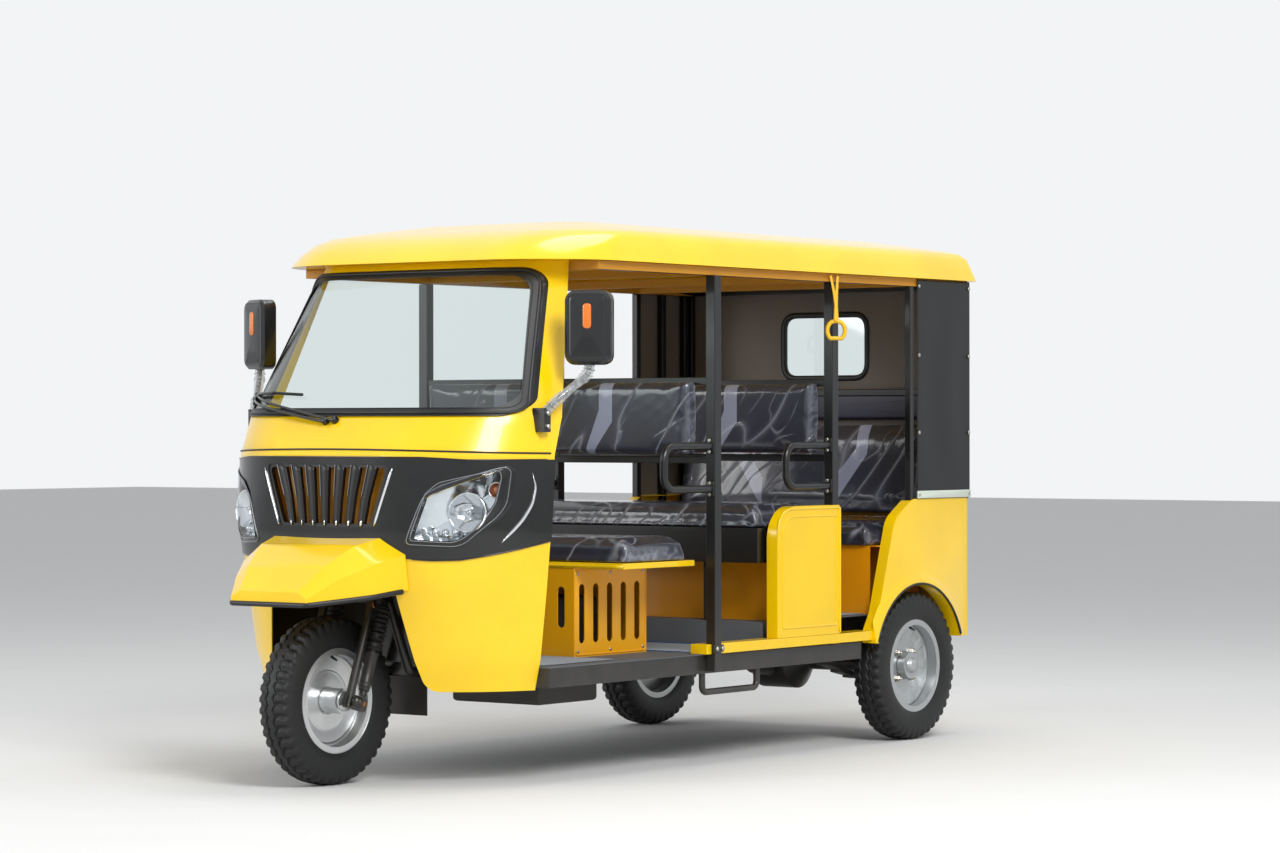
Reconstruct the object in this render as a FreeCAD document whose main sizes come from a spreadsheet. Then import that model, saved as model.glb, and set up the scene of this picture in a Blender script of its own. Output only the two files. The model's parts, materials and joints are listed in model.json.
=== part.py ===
import FreeCAD, Part
import math
import os

import Sketcher

# Three-wheeled auto rickshaw with a moulded cab, an open cabin of three bench rows and a moulded roof.
# The vehicle faces -Y, its left side is +X, and it stands on Z = 0.
# Places along Y are measured from the front axle, and every finished piece is then moved by
# half the overall length, so that the origin lies under the middle of the vehicle.

V = FreeCAD.Vector
os.makedirs("parts", exist_ok=True)
doc = FreeCAD.newDocument("AutoRickshaw")
sheet = doc.addObject("Spreadsheet::Sheet", "Sizes")

# Driving sizes in millimetres and degrees: name, size, what it measures.
SIZE_ROWS = (
    ("wheelbase", 2500, "front axle to rear axle"),
    ("rear_track", 1152, "between the centres of the rear tyres"),
    ("tyre_radius", 267, "outside of the tread"),
    ("tyre_width", 115, "widest part of the tyre"),
    ("rim_radius", 166, "edge of the rim's flange"),
    ("bead_radius", 152, "seat of the tyre's bead on the rim"),
    ("rim_width", 92, "over both flanges"),
    ("bead_half_width", 36, "half the width of the tyre on the rim"),
    ("tread_half_width", 42, "half the width of the flat tread"),
    ("sheet_thick", 3, "pressed steel panels and floors"),
    ("mould_wall", 5, "moulded cab, roof and fender walls"),
    ("fit_gap", 0.3, "between pieces that touch without being fixed"),
    ("running_gap", 0.08, "radial clearance of a shaft in its bore"),
    ("body_half_width", 630, "middle of the vehicle to the outside of the side panels"),
    ("cab_inset", 8, "widest place of the cab inside the side panels"),
    ("lamp_clearance", 6, "foot panel round the back of the lamps"),
    ("mask_thick", 4, "black mask outside the cab's wall"),
    ("rail_bottom", 308, "underside of the chassis rails"),
    ("rail_height", 62, "chassis tube"),
    ("rail_width", 40, "chassis tube"),
    ("rail_inset", 24, "side rails inside the side panels"),
    ("rail_rear", 2170, "rear end of the side rails"),
    ("step_up", 86, "raised rear floor above the front floor"),
    ("step_y", 1620, "riser between the two floors"),
    ("strut_radius", 16, "tubes from the first cross member to the head tube"),
    ("rail_clearance", 78.5, "between the rear rails and the rear tyres"),
    ("sill_height", 34, "yellow sill along the floor's edge"),
    ("sill_width", 70, "yellow sill along the floor's edge"),
    ("sill_front", 1195, "front end of the sill"),
    ("post_width", 38, "square roof posts"),
    ("post_proud", 14, "first post outside the side panels"),
    ("first_post_y", 1240, "middle of the first roof post"),
    ("second_post_y", 1975, "middle of the second roof post"),
    ("third_post_y", 2475, "middle of the post at the curtain's front edge"),
    ("bar_width", 25, "square bars that carry the curtains and the seat backs"),
    ("panel_length", 392, "side panel along the vehicle"),
    ("panel_top", 858, "top of the side panel"),
    ("panel_corner", 115, "round front corner of the side panel"),
    ("panel_depth", 42, "folded edge of the side panel"),
    ("quarter_rear", 2848, "rear edge of the rear quarter panels"),
    ("quarter_top", 870, "top of the rear quarter panels"),
    ("quarter_bottom", 362, "lower edge behind the wheel"),
    ("arch_gap", 28, "between tyre and wheel arch"),
    ("arch_flare", 16, "swell of the panel round the wheel arch"),
    ("roof_overhang", 20, "edge of the roof outside the side panels"),
    ("roof_front", 366, "front edge of the roof"),
    ("roof_rear", 2925, "rear edge of the roof"),
    ("roof_bottom", 1668, "lower edge of the roof's skirt"),
    ("roof_rise", 144, "height of the roof from its lower edge to its crown"),
    ("frame_tube", 30, "roof frame tubes"),
    ("seat_clearance", 55, "the seats' ends inside the side panels"),
    ("cushion_thick", 82, "seat cushions"),
    ("cushion_bevel", 16, "bevelled edges of the cushions"),
    ("back_thick", 62, "seat backs"),
    ("back_height", 255, "front and middle seat backs"),
    ("back_bottom", 1030, "lower edge of the front and middle seat backs"),
    ("rear_back_thick", 78, "rear seat back"),
    ("rear_back_height", 360, "rear seat back"),
    ("rear_back_lean", 9, "rear seat back leaning back, in degrees"),
    ("rear_bar_top", 1125, "top of the bar behind the rear seat back"),
    ("cover_half_width", 365, "engine cover under the driver's seat"),
    ("cover_front", 812, "front face of the engine cover"),
    ("cover_length", 400, "engine cover along the vehicle"),
    ("cover_height", 294, "engine cover above the floor"),
    ("engine_half_width", 190, "engine under the cover"),
    ("slot_width", 30, "cooling slots in the engine cover"),
    ("slot_height", 196, "cooling slots in the engine cover"),
    ("seat_plate_thick", 20, "folded plate under the driver's cushion"),
    ("bench_front", 1560, "front edge of the middle bench"),
    ("bench_top", 785, "top of the middle bench's frame"),
    ("bench_skirt", 120, "dark skirt under the middle cushion"),
    ("box_front", 1742, "panel below the middle bench"),
    ("rear_seat_front", 2262, "front edge of the rear cushion"),
    ("rear_seat_panel", 2296, "upright panel below the rear cushion"),
    ("rear_seat_top", 705, "top plate of the rear seat's base"),
    ("wall_thick", 9, "padded rear wall"),
    ("window_half_width", 190, "rear window"),
    ("window_bottom", 1315, "rear window"),
    ("window_height", 240, "rear window"),
    ("window_corner", 70, "round corners of the rear window"),
    ("curtain_thick", 5, "side curtains"),
    ("curtain_front", 2500, "front edge of the side curtains"),
    ("curtain_bottom", 866, "lower edge of the side curtains"),
    ("rake", 20, "steering axis leaning back, in degrees"),
    ("fork_offset", 30, "front axle ahead of the steering axis"),
    ("fork_half_span", 98, "middle of the wheel to the fork legs"),
    ("crown_height", 345, "fork crown above the axle, along the steering axis"),
    ("crown_thick", 20, "fork crown plate"),
    ("head_low", 385, "lower end of the head tube along the steering axis"),
    ("head_length", 170, "head tube"),
    ("steerer_radius", 18, "steering column"),
    ("bar_height", 800, "handlebar along the steering axis"),
    ("grip_span", 350, "middle of the vehicle to the grips' ends"),
    ("axle_radius", 9, "front axle"),
    ("stub_radius", 15, "rear stub axles"),
    ("axle_tube_radius", 30, "rear axle tube"),
    ("spring_span", 295, "rear axle to each eye of the leaf springs"),
    ("leaf_width", 50, "leaf springs"),
    ("leaf_thick", 8, "each leaf"),
    ("spring_eye", 13, "radius of the eyes at the springs' ends"),
    ("flap_width", 240, "mud flap behind the front wheel"),
    ("flap_height", 124, "mud flap behind the front wheel"),
    ("fender_tip", 272, "front axle to the tip of the front fender"),
    ("handle_reach", 263, "grab handles ahead of their posts"),
    ("mirror_reach", 72, "middle of a mirror outside the side panels"),
    ("mirror_y", 454, "middle of a mirror"),
    ("mirror_z", 1446, "middle of a mirror"),
    ("mirror_turn", 22, "mirror heads turned towards the driver, in degrees"),
    ("mirror_width", 150, "mirror head"),
    ("mirror_height", 235, "mirror head"),
)


class Size:
    """A size: its number, and the words that give it in the sheet."""

    def __init__(self, number, words):
        self.number = float(number)
        self.words = words

    def __float__(self):
        return self.number

    def join(self, other, mark, number, swap=False):
        pair = (words_of(other), self.words) if swap else (self.words, words_of(other))
        return Size(number, "(%s %s %s)" % (pair[0], mark, pair[1]))

    def __add__(self, other):
        return self.join(other, "+", self.number + float(other))

    def __radd__(self, other):
        return self.join(other, "+", self.number + float(other), True)

    def __sub__(self, other):
        return self.join(other, "-", self.number - float(other))

    def __rsub__(self, other):
        return self.join(other, "-", float(other) - self.number, True)

    def __mul__(self, other):
        return self.join(other, "*", self.number * float(other))

    def __rmul__(self, other):
        return self.join(other, "*", self.number * float(other), True)

    def __truediv__(self, other):
        return self.join(other, "/", self.number / float(other))

    def __neg__(self):
        return Size(-self.number, "(-1 * %s)" % self.words)


def words_of(value):
    """The sheet's words for a size, or a bare number as text."""
    return value.words if isinstance(value, Size) else "%.6f" % value


class Sizes:
    """The sheet's cells by name."""

    def __init__(self, rows):
        self.cells = {}
        for line, (name, number, meaning) in enumerate(rows, 1):
            sheet.set("A%d" % line, meaning)
            sheet.set("B%d" % line, str(number))
            sheet.setAlias("B%d" % line, name)
            self.cells[name] = Size(number, "Sizes." + name)

    def __getattr__(self, name):
        return self.cells[name]


s = Sizes(SIZE_ROWS)
doc.recompute()

# Moulded cab: plan sections from its foot to its top, drawn for a cab of this half width.
DRAWN_HALF = 622
CAB_SECTIONS = (
    # height, nose set back, narrower than the cab's half width, corner radius, rear edge
    (299, 70, 74, 440, 372),
    (400, 44, 48, 455, 368),
    (620, 14, 20, 475, 364),
    (800, 2, 4, 460, 366),
    (1045, 0, 0, 466, 380),
    (1165, 88, 10, 372, 430),
    (float(s.roof_bottom - s.fit_gap), 444, 116, 222, 604),
)
NOSE_BOW = 10

# Places that several pieces share.
cab_half_width = s.body_half_width - s.cab_inset
rail_half_span = s.body_half_width - s.rail_inset
rear_rail_span = s.rear_track / 2 - s.tyre_width / 2 - s.rail_clearance
roof_half_width = s.body_half_width + s.roof_overhang
seat_half_width = s.body_half_width - s.seat_clearance
mirror_x = s.body_half_width + s.mirror_reach
rail_front = CAB_SECTIONS[0][-1] + s.fit_gap
foot_panel_y = rail_front - 20.3
frame_front = CAB_SECTIONS[-1][-1] + s.fit_gap
rail_top = s.rail_bottom + s.rail_height
floor_top = rail_top + s.sheet_thick
raised_top = floor_top + s.step_up
raised_under = raised_top - s.sheet_thick
sill_top = floor_top + s.sill_height
rail_inner = rail_half_span - s.rail_width
rear_rail_end = s.quarter_rear - s.sheet_thick
sill_inner = s.body_half_width - s.sill_width
post_top = s.roof_bottom - s.frame_tube
panel_rear = s.second_post_y + s.post_width / 2 + s.fit_gap + s.sheet_thick
rear_post_y = rear_rail_end - s.fit_gap - s.bar_width / 2
rear_axle_y = s.wheelbase
middle_y = (s.roof_rear - s.fender_tip) / 2
rake_turn = FreeCAD.Rotation(V(1, 0, 0), -float(s.rake))
foot_y = Size(float(s.fork_offset) * math.cos(math.radians(float(s.rake))),
              "(Sizes.fork_offset * cos(Sizes.rake * 1 deg))")
foot_z = Size(float(s.tyre_radius) - float(s.fork_offset) * math.sin(math.radians(float(s.rake))),
              "(Sizes.tyre_radius - Sizes.fork_offset * sin(Sizes.rake * 1 deg))")

nodes = []


def place(piece, x, y, z):
    """Binds a piece's place to the sheet."""
    for letter, value in (("x", x), ("y", y), ("z", z)):
        piece.setExpression("Placement.Base." + letter, words_of(value))


def block(name, x, y, z):
    """A box between its low and high planes along each axis."""
    made = doc.addObject("Part::Box", name)
    for prop, (low, high) in (("Length", x), ("Width", y), ("Height", z)):
        made.setExpression(prop, words_of(high - low))
    place(made, x[0], y[0], z[0])
    return made


def rod(name, radius, axis, start, length):
    """A round bar from its start point along one axis."""
    made = doc.addObject("Part::Cylinder", name)
    turn = {"X": FreeCAD.Rotation(V(0, 1, 0), 90),
            "Y": FreeCAD.Rotation(V(1, 0, 0), -90),
            "Z": FreeCAD.Rotation()}[axis]
    made.Placement = FreeCAD.Placement(V(), turn)
    made.setExpression("Radius", words_of(radius))
    made.setExpression("Height", words_of(length))
    place(made, *start)
    return made


def cut(name, base, *tools):
    """The base without its tools."""
    made = doc.addObject("Part::Cut", name)
    made.Base = base
    made.Tool = tools[0] if len(tools) == 1 else fuse(name + "_tools", *tools)
    return made


def fuse(name, *pieces):
    """Pieces joined into one solid."""
    made = doc.addObject("Part::MultiFuse", name)
    made.Shapes = list(pieces)
    return made


def gather(name, *pieces):
    """Pieces that share a name but don't touch."""
    made = doc.addObject("Part::Compound", name)
    made.Links = list(pieces)
    return made


def mirrored(name, piece):
    """The same piece on the vehicle's other side."""
    made = doc.addObject("Part::Mirroring", name)
    made.Source = piece
    made.Base = V()
    made.Normal = V(1, 0, 0)
    return made


def solid(name, shape):
    """A piece whose shape is worked out from the sheet's sizes."""
    made = doc.addObject("Part::Feature", name)
    made.Shape = shape
    return made


def publish(node, piece, y=0, z=0, turn=None):
    """Names a finished piece after its file and moves it to the vehicle's own frame."""
    made = piece if piece.TypeId == "PartDesign::Body" else gather(node + "_node", piece)
    made.Label = node
    if turn is not None:
        made.Placement = FreeCAD.Placement(V(), turn)
    place(made, 0, y - middle_y, z)
    nodes.append(made)


def corner(before, point, after, radius):
    """Start, middle and end of the tangent arc that rounds one corner."""
    towards = (before - point).normalize()
    away = (after - point).normalize()
    half = towards.getAngle(away) / 2
    reach = radius / math.tan(half)
    bisector = (towards + away).normalize()
    middle = point + bisector * (radius / math.sin(half) - radius)
    return point + towards * reach, middle, point + away * reach


def rounded_wire(points, radii, closed):
    """Straight runs through the points, with each corner rounded by its own radius."""
    points = [V(*[float(value) for value in point]) for point in points]
    count = len(points)
    edges = []
    start = last = None
    for index, (point, radius) in enumerate(zip(points, radii)):
        ends = not closed and index in (0, count - 1)
        if ends or float(radius) == 0:
            first, final, arc = point, point, None
        else:
            first, mid, final = corner(points[index - 1], point, points[(index + 1) % count], float(radius))
            arc = Part.Arc(first, mid, final).toShape()
        if last is not None and last.distanceToPoint(first) > 1e-6:
            edges.append(Part.LineSegment(last, first).toShape())
        if arc is not None:
            edges.append(arc)
        start = first if start is None else start
        last = final
    if closed and last.distanceToPoint(start) > 1e-6:
        edges.append(Part.LineSegment(last, start).toShape())
    return Part.Wire(edges)


def flat_wire(corners, plane, level):
    """A closed outline of (across, up, corner radius) in a plane: XZ, YZ or XY at a level."""
    put = {"XZ": lambda a, b: (a, level, b),
           "YZ": lambda a, b: (level, a, b),
           "XY": lambda a, b: (a, b, level)}[plane]
    return rounded_wire([put(a, b) for a, b, _ in corners], [r for _, _, r in corners], True)


def slab(corners, plane, low, high):
    """A flat outline made solid between two levels."""
    normal = {"XZ": V(0, 1, 0), "YZ": V(1, 0, 0), "XY": V(0, 0, 1)}[plane]
    face = Part.Face(flat_wire(corners, plane, float(low)))
    return face.extrude(normal * (float(high) - float(low)))


def rectangle(low, high, bottom, top, radius=0):
    """Corners of an upright rectangle."""
    return [(low, bottom, radius), (high, bottom, radius), (high, top, radius), (low, top, radius)]


def bent_bar(points, bend, radius):
    """A round bar along straight runs joined by tangent arcs."""
    radii = [bend] * len(points)
    path = rounded_wire(points, radii, False)
    first = V(*[float(value) for value in points[0]])
    second = V(*[float(value) for value in points[1]])
    ring = Part.Wire(Part.Circle(first, second - first, float(radius)).toShape())
    return path.makePipeShell([ring], True, False)


def revolved(profile):
    """A closed (along, outward) outline turned about the X axis."""
    wire = flat_wire([(a, b, r) for a, b, r in profile], "XY", 0)
    return Part.Face(wire).revolve(V(), V(1, 0, 0), 360)


def strip_loop(points, thick):
    """A folded sheet seen along X: its outline from a line of points and a thickness to one side."""
    line = [V(0, float(a), float(b)) for a, b in points]
    normals = []
    for first, second in zip(line, line[1:]):
        run = (second - first).normalize()
        normals.append(V(0, -run.z, run.y))
    back = []
    for index, point in enumerate(line):
        before = normals[max(index - 1, 0)]
        after = normals[min(index, len(normals) - 1)]
        bisector = (before + after).normalize()
        back.append(point + bisector * (float(thick) / bisector.dot(after)))
    return Part.makePolygon(line + back[::-1] + line[:1])


# Chassis: two side rails, two rear rails over the axle, cross members and the front frame.
def frame_rails():
    left = block("left_rail", (rail_inner, rail_half_span), (rail_front, s.rail_rear),
                 (s.rail_bottom, rail_top))
    rear = block("left_rear_rail", (rear_rail_span - s.rail_width, rear_rail_span),
                 (s.step_y + s.sheet_thick, rear_rail_end), (rail_top, raised_under))
    publish("frame_rails", gather("rails", left, mirrored("right_rail", left), rear,
                                  mirrored("right_rear_rail", rear)))


cover_bar_y = s.cover_front - 22
CROSS_MEMBER_MIDDLES = (rail_front + 20, cover_bar_y, s.first_post_y, s.step_y + 20, s.rail_rear - 60)


def cross_members():
    bars = []
    for index, middle in enumerate(CROSS_MEMBER_MIDDLES):
        bars.append(block("cross_member_%d" % index, (-rail_inner, rail_inner), (middle - 20, middle + 20),
                          (s.rail_bottom, rail_top)))
    inner = rear_rail_span - s.rail_width
    bars.append(block("rear_cross_member", (-inner, inner), (rear_rail_end - 40, rear_rail_end),
                      (rail_top, raised_under)))
    publish("cross_members", gather("cross_bars", *bars))


def steering_point(along, back=0.0):
    """A place on the steering axis, or behind it, in the vehicle's frame."""
    local = rake_turn.multVec(V(0, float(back), float(along)))
    return V(0, float(foot_y) + local.y, float(foot_z) + local.z)


def front_frame():
    low = steering_point(s.head_low)
    axis = rake_turn.multVec(V(0, 0, 1))
    tube = Part.makeCylinder(float(s.steerer_radius) + 12, float(s.head_length), low, axis)
    joint = steering_point(float(s.head_low) + float(s.head_length) * 0.75)
    front = float(rail_front)
    middle = float(s.rail_bottom) + float(s.rail_height) / 2
    strut = bent_bar([(62, front + 1, middle), (62, front - 42, middle + 4), (22, joint.y, joint.z)], 26,
                     s.strut_radius)
    other = strut.mirror(V(), V(1, 0, 0))
    bore = Part.makeCylinder(float(s.steerer_radius) + float(s.running_gap), 400,
                             steering_point(float(s.head_low) - 100), axis)
    keep = Part.makeBox(400, 400, 900, V(-200, front - 400, 0))
    shape = tube.fuse([strut, other]).cut(bore).common(keep)
    publish("front_frame", solid("head_tube_and_struts", shape))


def floor_pan():
    plate = block("front_floor", (-rail_half_span, rail_half_span), (rail_front, s.step_y),
                  (rail_top, floor_top))
    riser = block("floor_riser", (-sill_inner, sill_inner), (s.step_y, s.step_y + s.sheet_thick),
                  (rail_top, raised_under))
    raised = block("raised_floor", (-sill_inner, sill_inner), (s.step_y, s.rear_seat_panel),
                   (raised_under, raised_top))
    rear = block("rear_floor", (-rear_rail_span, rear_rail_span), (s.rear_seat_panel - 1, rear_rail_end),
                 (raised_under, raised_top))
    hatch = block("engine_hatch", (-s.engine_half_width - 10, s.engine_half_width + 10),
                  (s.cover_front + 30, s.cover_front + 370), (rail_top - 5, floor_top + 5))
    tongue = Part.makeBox(2 * float(rail_half_span), float(rail_front - foot_panel_y), float(s.sheet_thick),
                          V(-float(rail_half_span), float(foot_panel_y), float(rail_top)))
    tongue = solid("floor_tongue", tongue.common(cab_loft(-float(s.mould_wall) - float(s.fit_gap), 40)))
    publish("floor_pan", cut("floor_with_hatch", fuse("floor_plates", plate, riser, raised, rear, tongue), hatch))


# Moulded cab: one hollow loft through the plan sections, with its windscreen and wheel opening cut.
def cab_section(row, grow, rear_extra):
    """One plan section of the cab, grown outwards by a distance; its corners are arcs cut off at the rear edge."""
    height, back, narrow, radius, rear = row
    half = float(cab_half_width) - narrow
    middle_y = back + radius
    middle_x = half - math.sqrt(radius ** 2 - (middle_y - rear) ** 2)
    radius = radius + grow
    end = V(middle_x + math.sqrt(radius ** 2 - (middle_y - rear) ** 2), rear, height)
    front = V(middle_x, back - grow, height)
    way = math.atan2(end.x - middle_x, middle_y - rear) / 2
    between = V(middle_x + radius * math.sin(way), middle_y - radius * math.cos(way), height)
    left = [end, between, front]
    right = [V(-point.x, point.y, point.z) for point in left]
    edges = [
        Part.Arc(left[0], left[1], left[2]).toShape(),
        Part.Arc(left[2], V(0, front.y - NOSE_BOW, height), right[2]).toShape(),
        Part.Arc(right[2], right[1], right[0]).toShape(),
    ]
    if rear_extra:
        far = V(0, rear_extra, 0)
        edges.append(Part.LineSegment(right[0], right[0] + far).toShape())
        edges.append(Part.LineSegment(right[0] + far, left[0] + far).toShape())
        edges.append(Part.LineSegment(left[0] + far, left[0]).toShape())
    else:
        edges.append(Part.LineSegment(right[0], left[0]).toShape())
    return Part.Wire(edges)


def cab_loft(grow, rear_extra=0.0, end_extra=0.0):
    """The cab's outer form, grown outwards by a distance, as one solid."""
    rows = [list(row) for row in CAB_SECTIONS]
    rows[0][0] -= end_extra
    rows[-1][0] += end_extra
    return Part.makeLoft([cab_section(row, grow, rear_extra) for row in rows], True, True)


def widened(outline):
    """An outline drawn for the cab's first half width, widened with the cab."""
    return [(across * float(cab_half_width) / DRAWN_HALF, up, radius) for across, up, radius in outline]


def windscreen_outline(inset):
    """The windscreen's outline seen from the front, as corners with radii."""
    top, bottom = 1645 - inset, 1168 + inset
    return widened([(-588 + inset, bottom, 50), (588 - inset, bottom, 50), (484 - inset, top, 75),
                    (-484 + inset, top, 75)])


def nose_slab(outline, depth=200):
    """A front outline run back through the cab's wall, as far as the wall it is to meet."""
    return slab(outline, "XZ", NOSE_REACH, depth)


NOSE_REACH = -60
LAMP_DEPTH = 400
SCREEN_DEPTH = 640
WHEEL_OPENING = [(-700, 250, 0), (700, 250, 0), (700, 300, 0), (320, 300, 45), (240, 722, 60), (-240, 722, 60),
                 (-320, 300, 45), (-700, 300, 0)]
MASK_PROFILE = [(-100, 738, 0), (60, 716, 0), (110, 718, 0), (450, 790, 0), (450, 1030, 0), (120, 1030, 0),
                (40, 1038, 0), (-100, 1040, 0)]
GRILLE_OUTLINE = [(-192, 818, 14), (192, 818, 14), (257, 1016, 14), (-257, 1016, 14)]
LAMP_OUTLINE = [(313, 770, 8), (462, 763, 70), (561, 874, 110), (568, 1006, 10), (372, 915, 45)]


def cab_shell():
    wall = float(s.mould_wall)
    shape = cab_loft(0).cut(cab_loft(-wall, 40, 1))
    shape = shape.cut(nose_slab(windscreen_outline(0), SCREEN_DEPTH))
    shape = shape.cut(nose_slab(WHEEL_OPENING, SCREEN_DEPTH))
    shape = shape.cut(nose_slab(widened(GRILLE_OUTLINE)))
    for side in (1, -1):
        shape = shape.cut(lamp_slab(side))
    publish("cab_shell", solid("cab_wall", shape))


def lamp_slab(side, inset=0.0):
    """A headlamp's outline run through the nose."""
    middle_x = 430
    middle_z = 885
    corners = []
    for across, up, radius in widened(LAMP_OUTLINE):
        reach = V(across - middle_x, up - middle_z, 0)
        reach = reach * (1 - float(inset) / reach.Length)
        corners.append((side * (middle_x + reach.x), middle_z + reach.y, radius))
    return nose_slab(corners, LAMP_DEPTH)


def nose_mask():
    skin = cab_loft(float(s.mask_thick)).cut(cab_loft(float(s.fit_gap), 40, 1))
    shape = skin.common(slab(MASK_PROFILE, "YZ", -s.body_half_width, s.body_half_width))
    shape = shape.cut(nose_slab(widened(GRILLE_OUTLINE)))
    for side in (1, -1):
        shape = shape.cut(lamp_slab(side))
    publish("nose_mask", solid("mask_skin", shape))


SLAT_COUNT = 7


def grille():
    """A frame in the mask's opening with upright slats, each bent at the middle of its height."""
    outline = widened(GRILLE_OUTLINE)
    foot_z, top_z = outline[0][1], outline[2][1]
    knee_z = (foot_z + top_z) / 2 - 8
    rim = 10
    inner = [(across * 0.95, foot_z + rim if up == foot_z else top_z - rim, radius) for across, up, radius in outline]
    ring = nose_slab(outline).cut(nose_slab(inner))
    frame = cab_loft(1).cut(cab_loft(-16, 40, 1)).common(ring)
    depth = cab_loft(-1).cut(cab_loft(-13, 40, 1))
    slats = []
    width = 11
    for index in range(SLAT_COUNT):
        share = (index + 1) / (SLAT_COUNT + 1) * 2 - 1
        top, foot = share * outline[2][0], share * outline[1][0]
        knee = (top + foot) / 2 - 6 * share
        corners = [(foot - width, foot_z + 3, 0), (foot + width, foot_z + 3, 0), (knee + width, knee_z, 0),
                   (top + width, top_z - 3, 0), (top - width, top_z - 3, 0), (knee - width, knee_z, 0)]
        slats.append(depth.common(nose_slab(corners)))
    publish("grille", solid("grille_frame_and_slats", frame.fuse(slats)))


def headlamps():
    lamps = []
    body = cab_loft(5).cut(cab_loft(-55, 40, 1))
    for side in (1, -1):
        lamps.append(body.common(lamp_slab(side, 1.0)))
    publish("headlamps", gather("lamp_pair", solid("left_lamp", lamps[0]), solid("right_lamp", lamps[1])))


GLASS_INSET = 26


def windows():
    pane_form = nose_slab(windscreen_outline(GLASS_INSET), SCREEN_DEPTH)
    glass = cab_loft(0).cut(cab_loft(-5, 40, 1)).common(pane_form)
    pane = rectangle(-s.window_half_width + s.fit_gap, s.window_half_width - s.fit_gap, s.window_bottom + s.fit_gap,
                     s.window_bottom + s.window_height - s.fit_gap, s.window_corner)
    inside = s.quarter_rear + s.fit_gap
    rear = slab(pane, "XZ", inside, inside + 4)
    publish("window_glass", gather("panes", solid("windscreen_pane", glass), solid("rear_pane", rear)))
    ring = nose_slab(windscreen_outline(0), SCREEN_DEPTH).cut(pane_form)
    seal = cab_loft(7).cut(cab_loft(-9, 40, 1)).common(ring)
    publish("windscreen_seal", solid("windscreen_rubber", seal))


# Front fender: sections across the vehicle, from the nose forward to the tip.
FENDER_SECTIONS = (
    # ahead of the front axle, half width at the side, side bottom, side top, half width of the crown, crown
    (-60, 312, 624, 742, 234, 798),
    (-8, 302, 620, 730, 222, 786),
    (90, 272, 606, 706, 196, 762),
    (190, 212, 594, 660, 158, 700),
    (272, 158, 584, 602, 122, 622),
)


def fender_section(row, wall):
    ahead, half, bottom, top, crown_half, crown = row
    half, crown_half = half - wall, crown_half - wall * 0.6
    top, crown = top - wall * 0.6, crown - wall
    low = bottom - (1 if wall else 0)
    points = [(half, low), (half, top), (crown_half, crown), (-crown_half, crown), (-half, top), (-half, low)]
    line = [V(a, -ahead, b) for a, b in points]
    return Part.makePolygon(line + line[:1])


def front_fender():
    rows = [list(row) for row in FENDER_SECTIONS]
    rows[-1][0] = float(s.fender_tip)
    outer = Part.makeLoft([fender_section(row, 0) for row in rows], True, True)
    inner_rows = [list(row) for row in rows]
    inner_rows[0][0] -= 5
    inner_rows[-1][0] -= float(s.mould_wall)
    inner = Part.makeLoft([fender_section(row, float(s.mould_wall)) for row in inner_rows], True, True)
    shape = outer.cut(inner).cut(cab_loft(float(s.mask_thick) + float(s.fit_gap)))
    publish("front_fender", solid("fender_shell", shape))


def mudflap():
    top = s.rail_bottom + s.rail_height / 2 - s.strut_radius + 1.5
    publish("mudflap", block("flap", (-s.flap_width / 2, s.flap_width / 2), (foot_panel_y - 2, foot_panel_y + 2),
                             (top - s.flap_height, top)))


def bulkhead():
    """Folded panel between the wheel and the driver's feet, with the shelf below the windscreen."""
    front = float(foot_panel_y)
    line = [(front, floor_top), (front, 640), (front - 52, 740), (120, 800), (120, 825)]
    half = float(s.body_half_width)
    face = Part.Face(strip_loop(line, -float(s.sheet_thick)))
    face.translate(V(-half, 0, 0))
    inside = cab_loft(-float(s.mould_wall) - float(s.fit_gap))
    panel = face.extrude(V(2 * half, 0, 0)).common(inside)
    axis = rake_turn.multVec(V(0, 0, 1))
    hole = Part.makeCylinder(46, 700, steering_point(250), axis)
    panel = panel.cut([hole] + [lamp_slab(side, -s.lamp_clearance) for side in (1, -1)])
    shelf = inside.common(Part.makeBox(2 * half, 300, 16, V(-half, 0, 1120)))
    publish("bulkhead", gather("bulkhead_panels", solid("foot_panel", panel), solid("dash_shelf", shelf)))


# Roof: a crowned moulding on a tube frame.
ROOF_SECTIONS = (
    # height above the lower edge, set in from the sides and the rear, set back at the front, front corner radius
    (0, 0, 0, 310),
    (38, 12, 38, 300),
    (77, 24, 110, 280),
    (98, 44, 180, 250),
    (110, 90, 245, 220),
    (124, 170, 330, 180),
    (144, 300, 470, 120),
)
ROOF_REAR_CORNER = 60


def roof_outline(inset, set_back, radius, wall):
    """The roof's outline seen from above, drawn in by a wall."""
    half = float(roof_half_width) - inset - wall
    front = float(s.roof_front) + set_back + wall
    rear = float(s.roof_rear) - inset - wall
    corner_radius = ROOF_REAR_CORNER - wall
    return [(-half, front, radius - wall), (half, front, radius - wall), (half, rear, corner_radius),
            (-half, rear, corner_radius)]


def roof_form(wall):
    """The roof's outer form, or its inside when a wall is taken off."""
    wires = []
    for height, inset, set_back, radius in ROOF_SECTIONS:
        level = float(s.roof_bottom) + height * float(s.roof_rise) / ROOF_SECTIONS[-1][0]
        level -= wall if height else min(wall, 1)
        wires.append(flat_wire(roof_outline(inset, set_back, radius, wall), "XY", level))
    return Part.makeLoft(wires, True, True)


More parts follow.
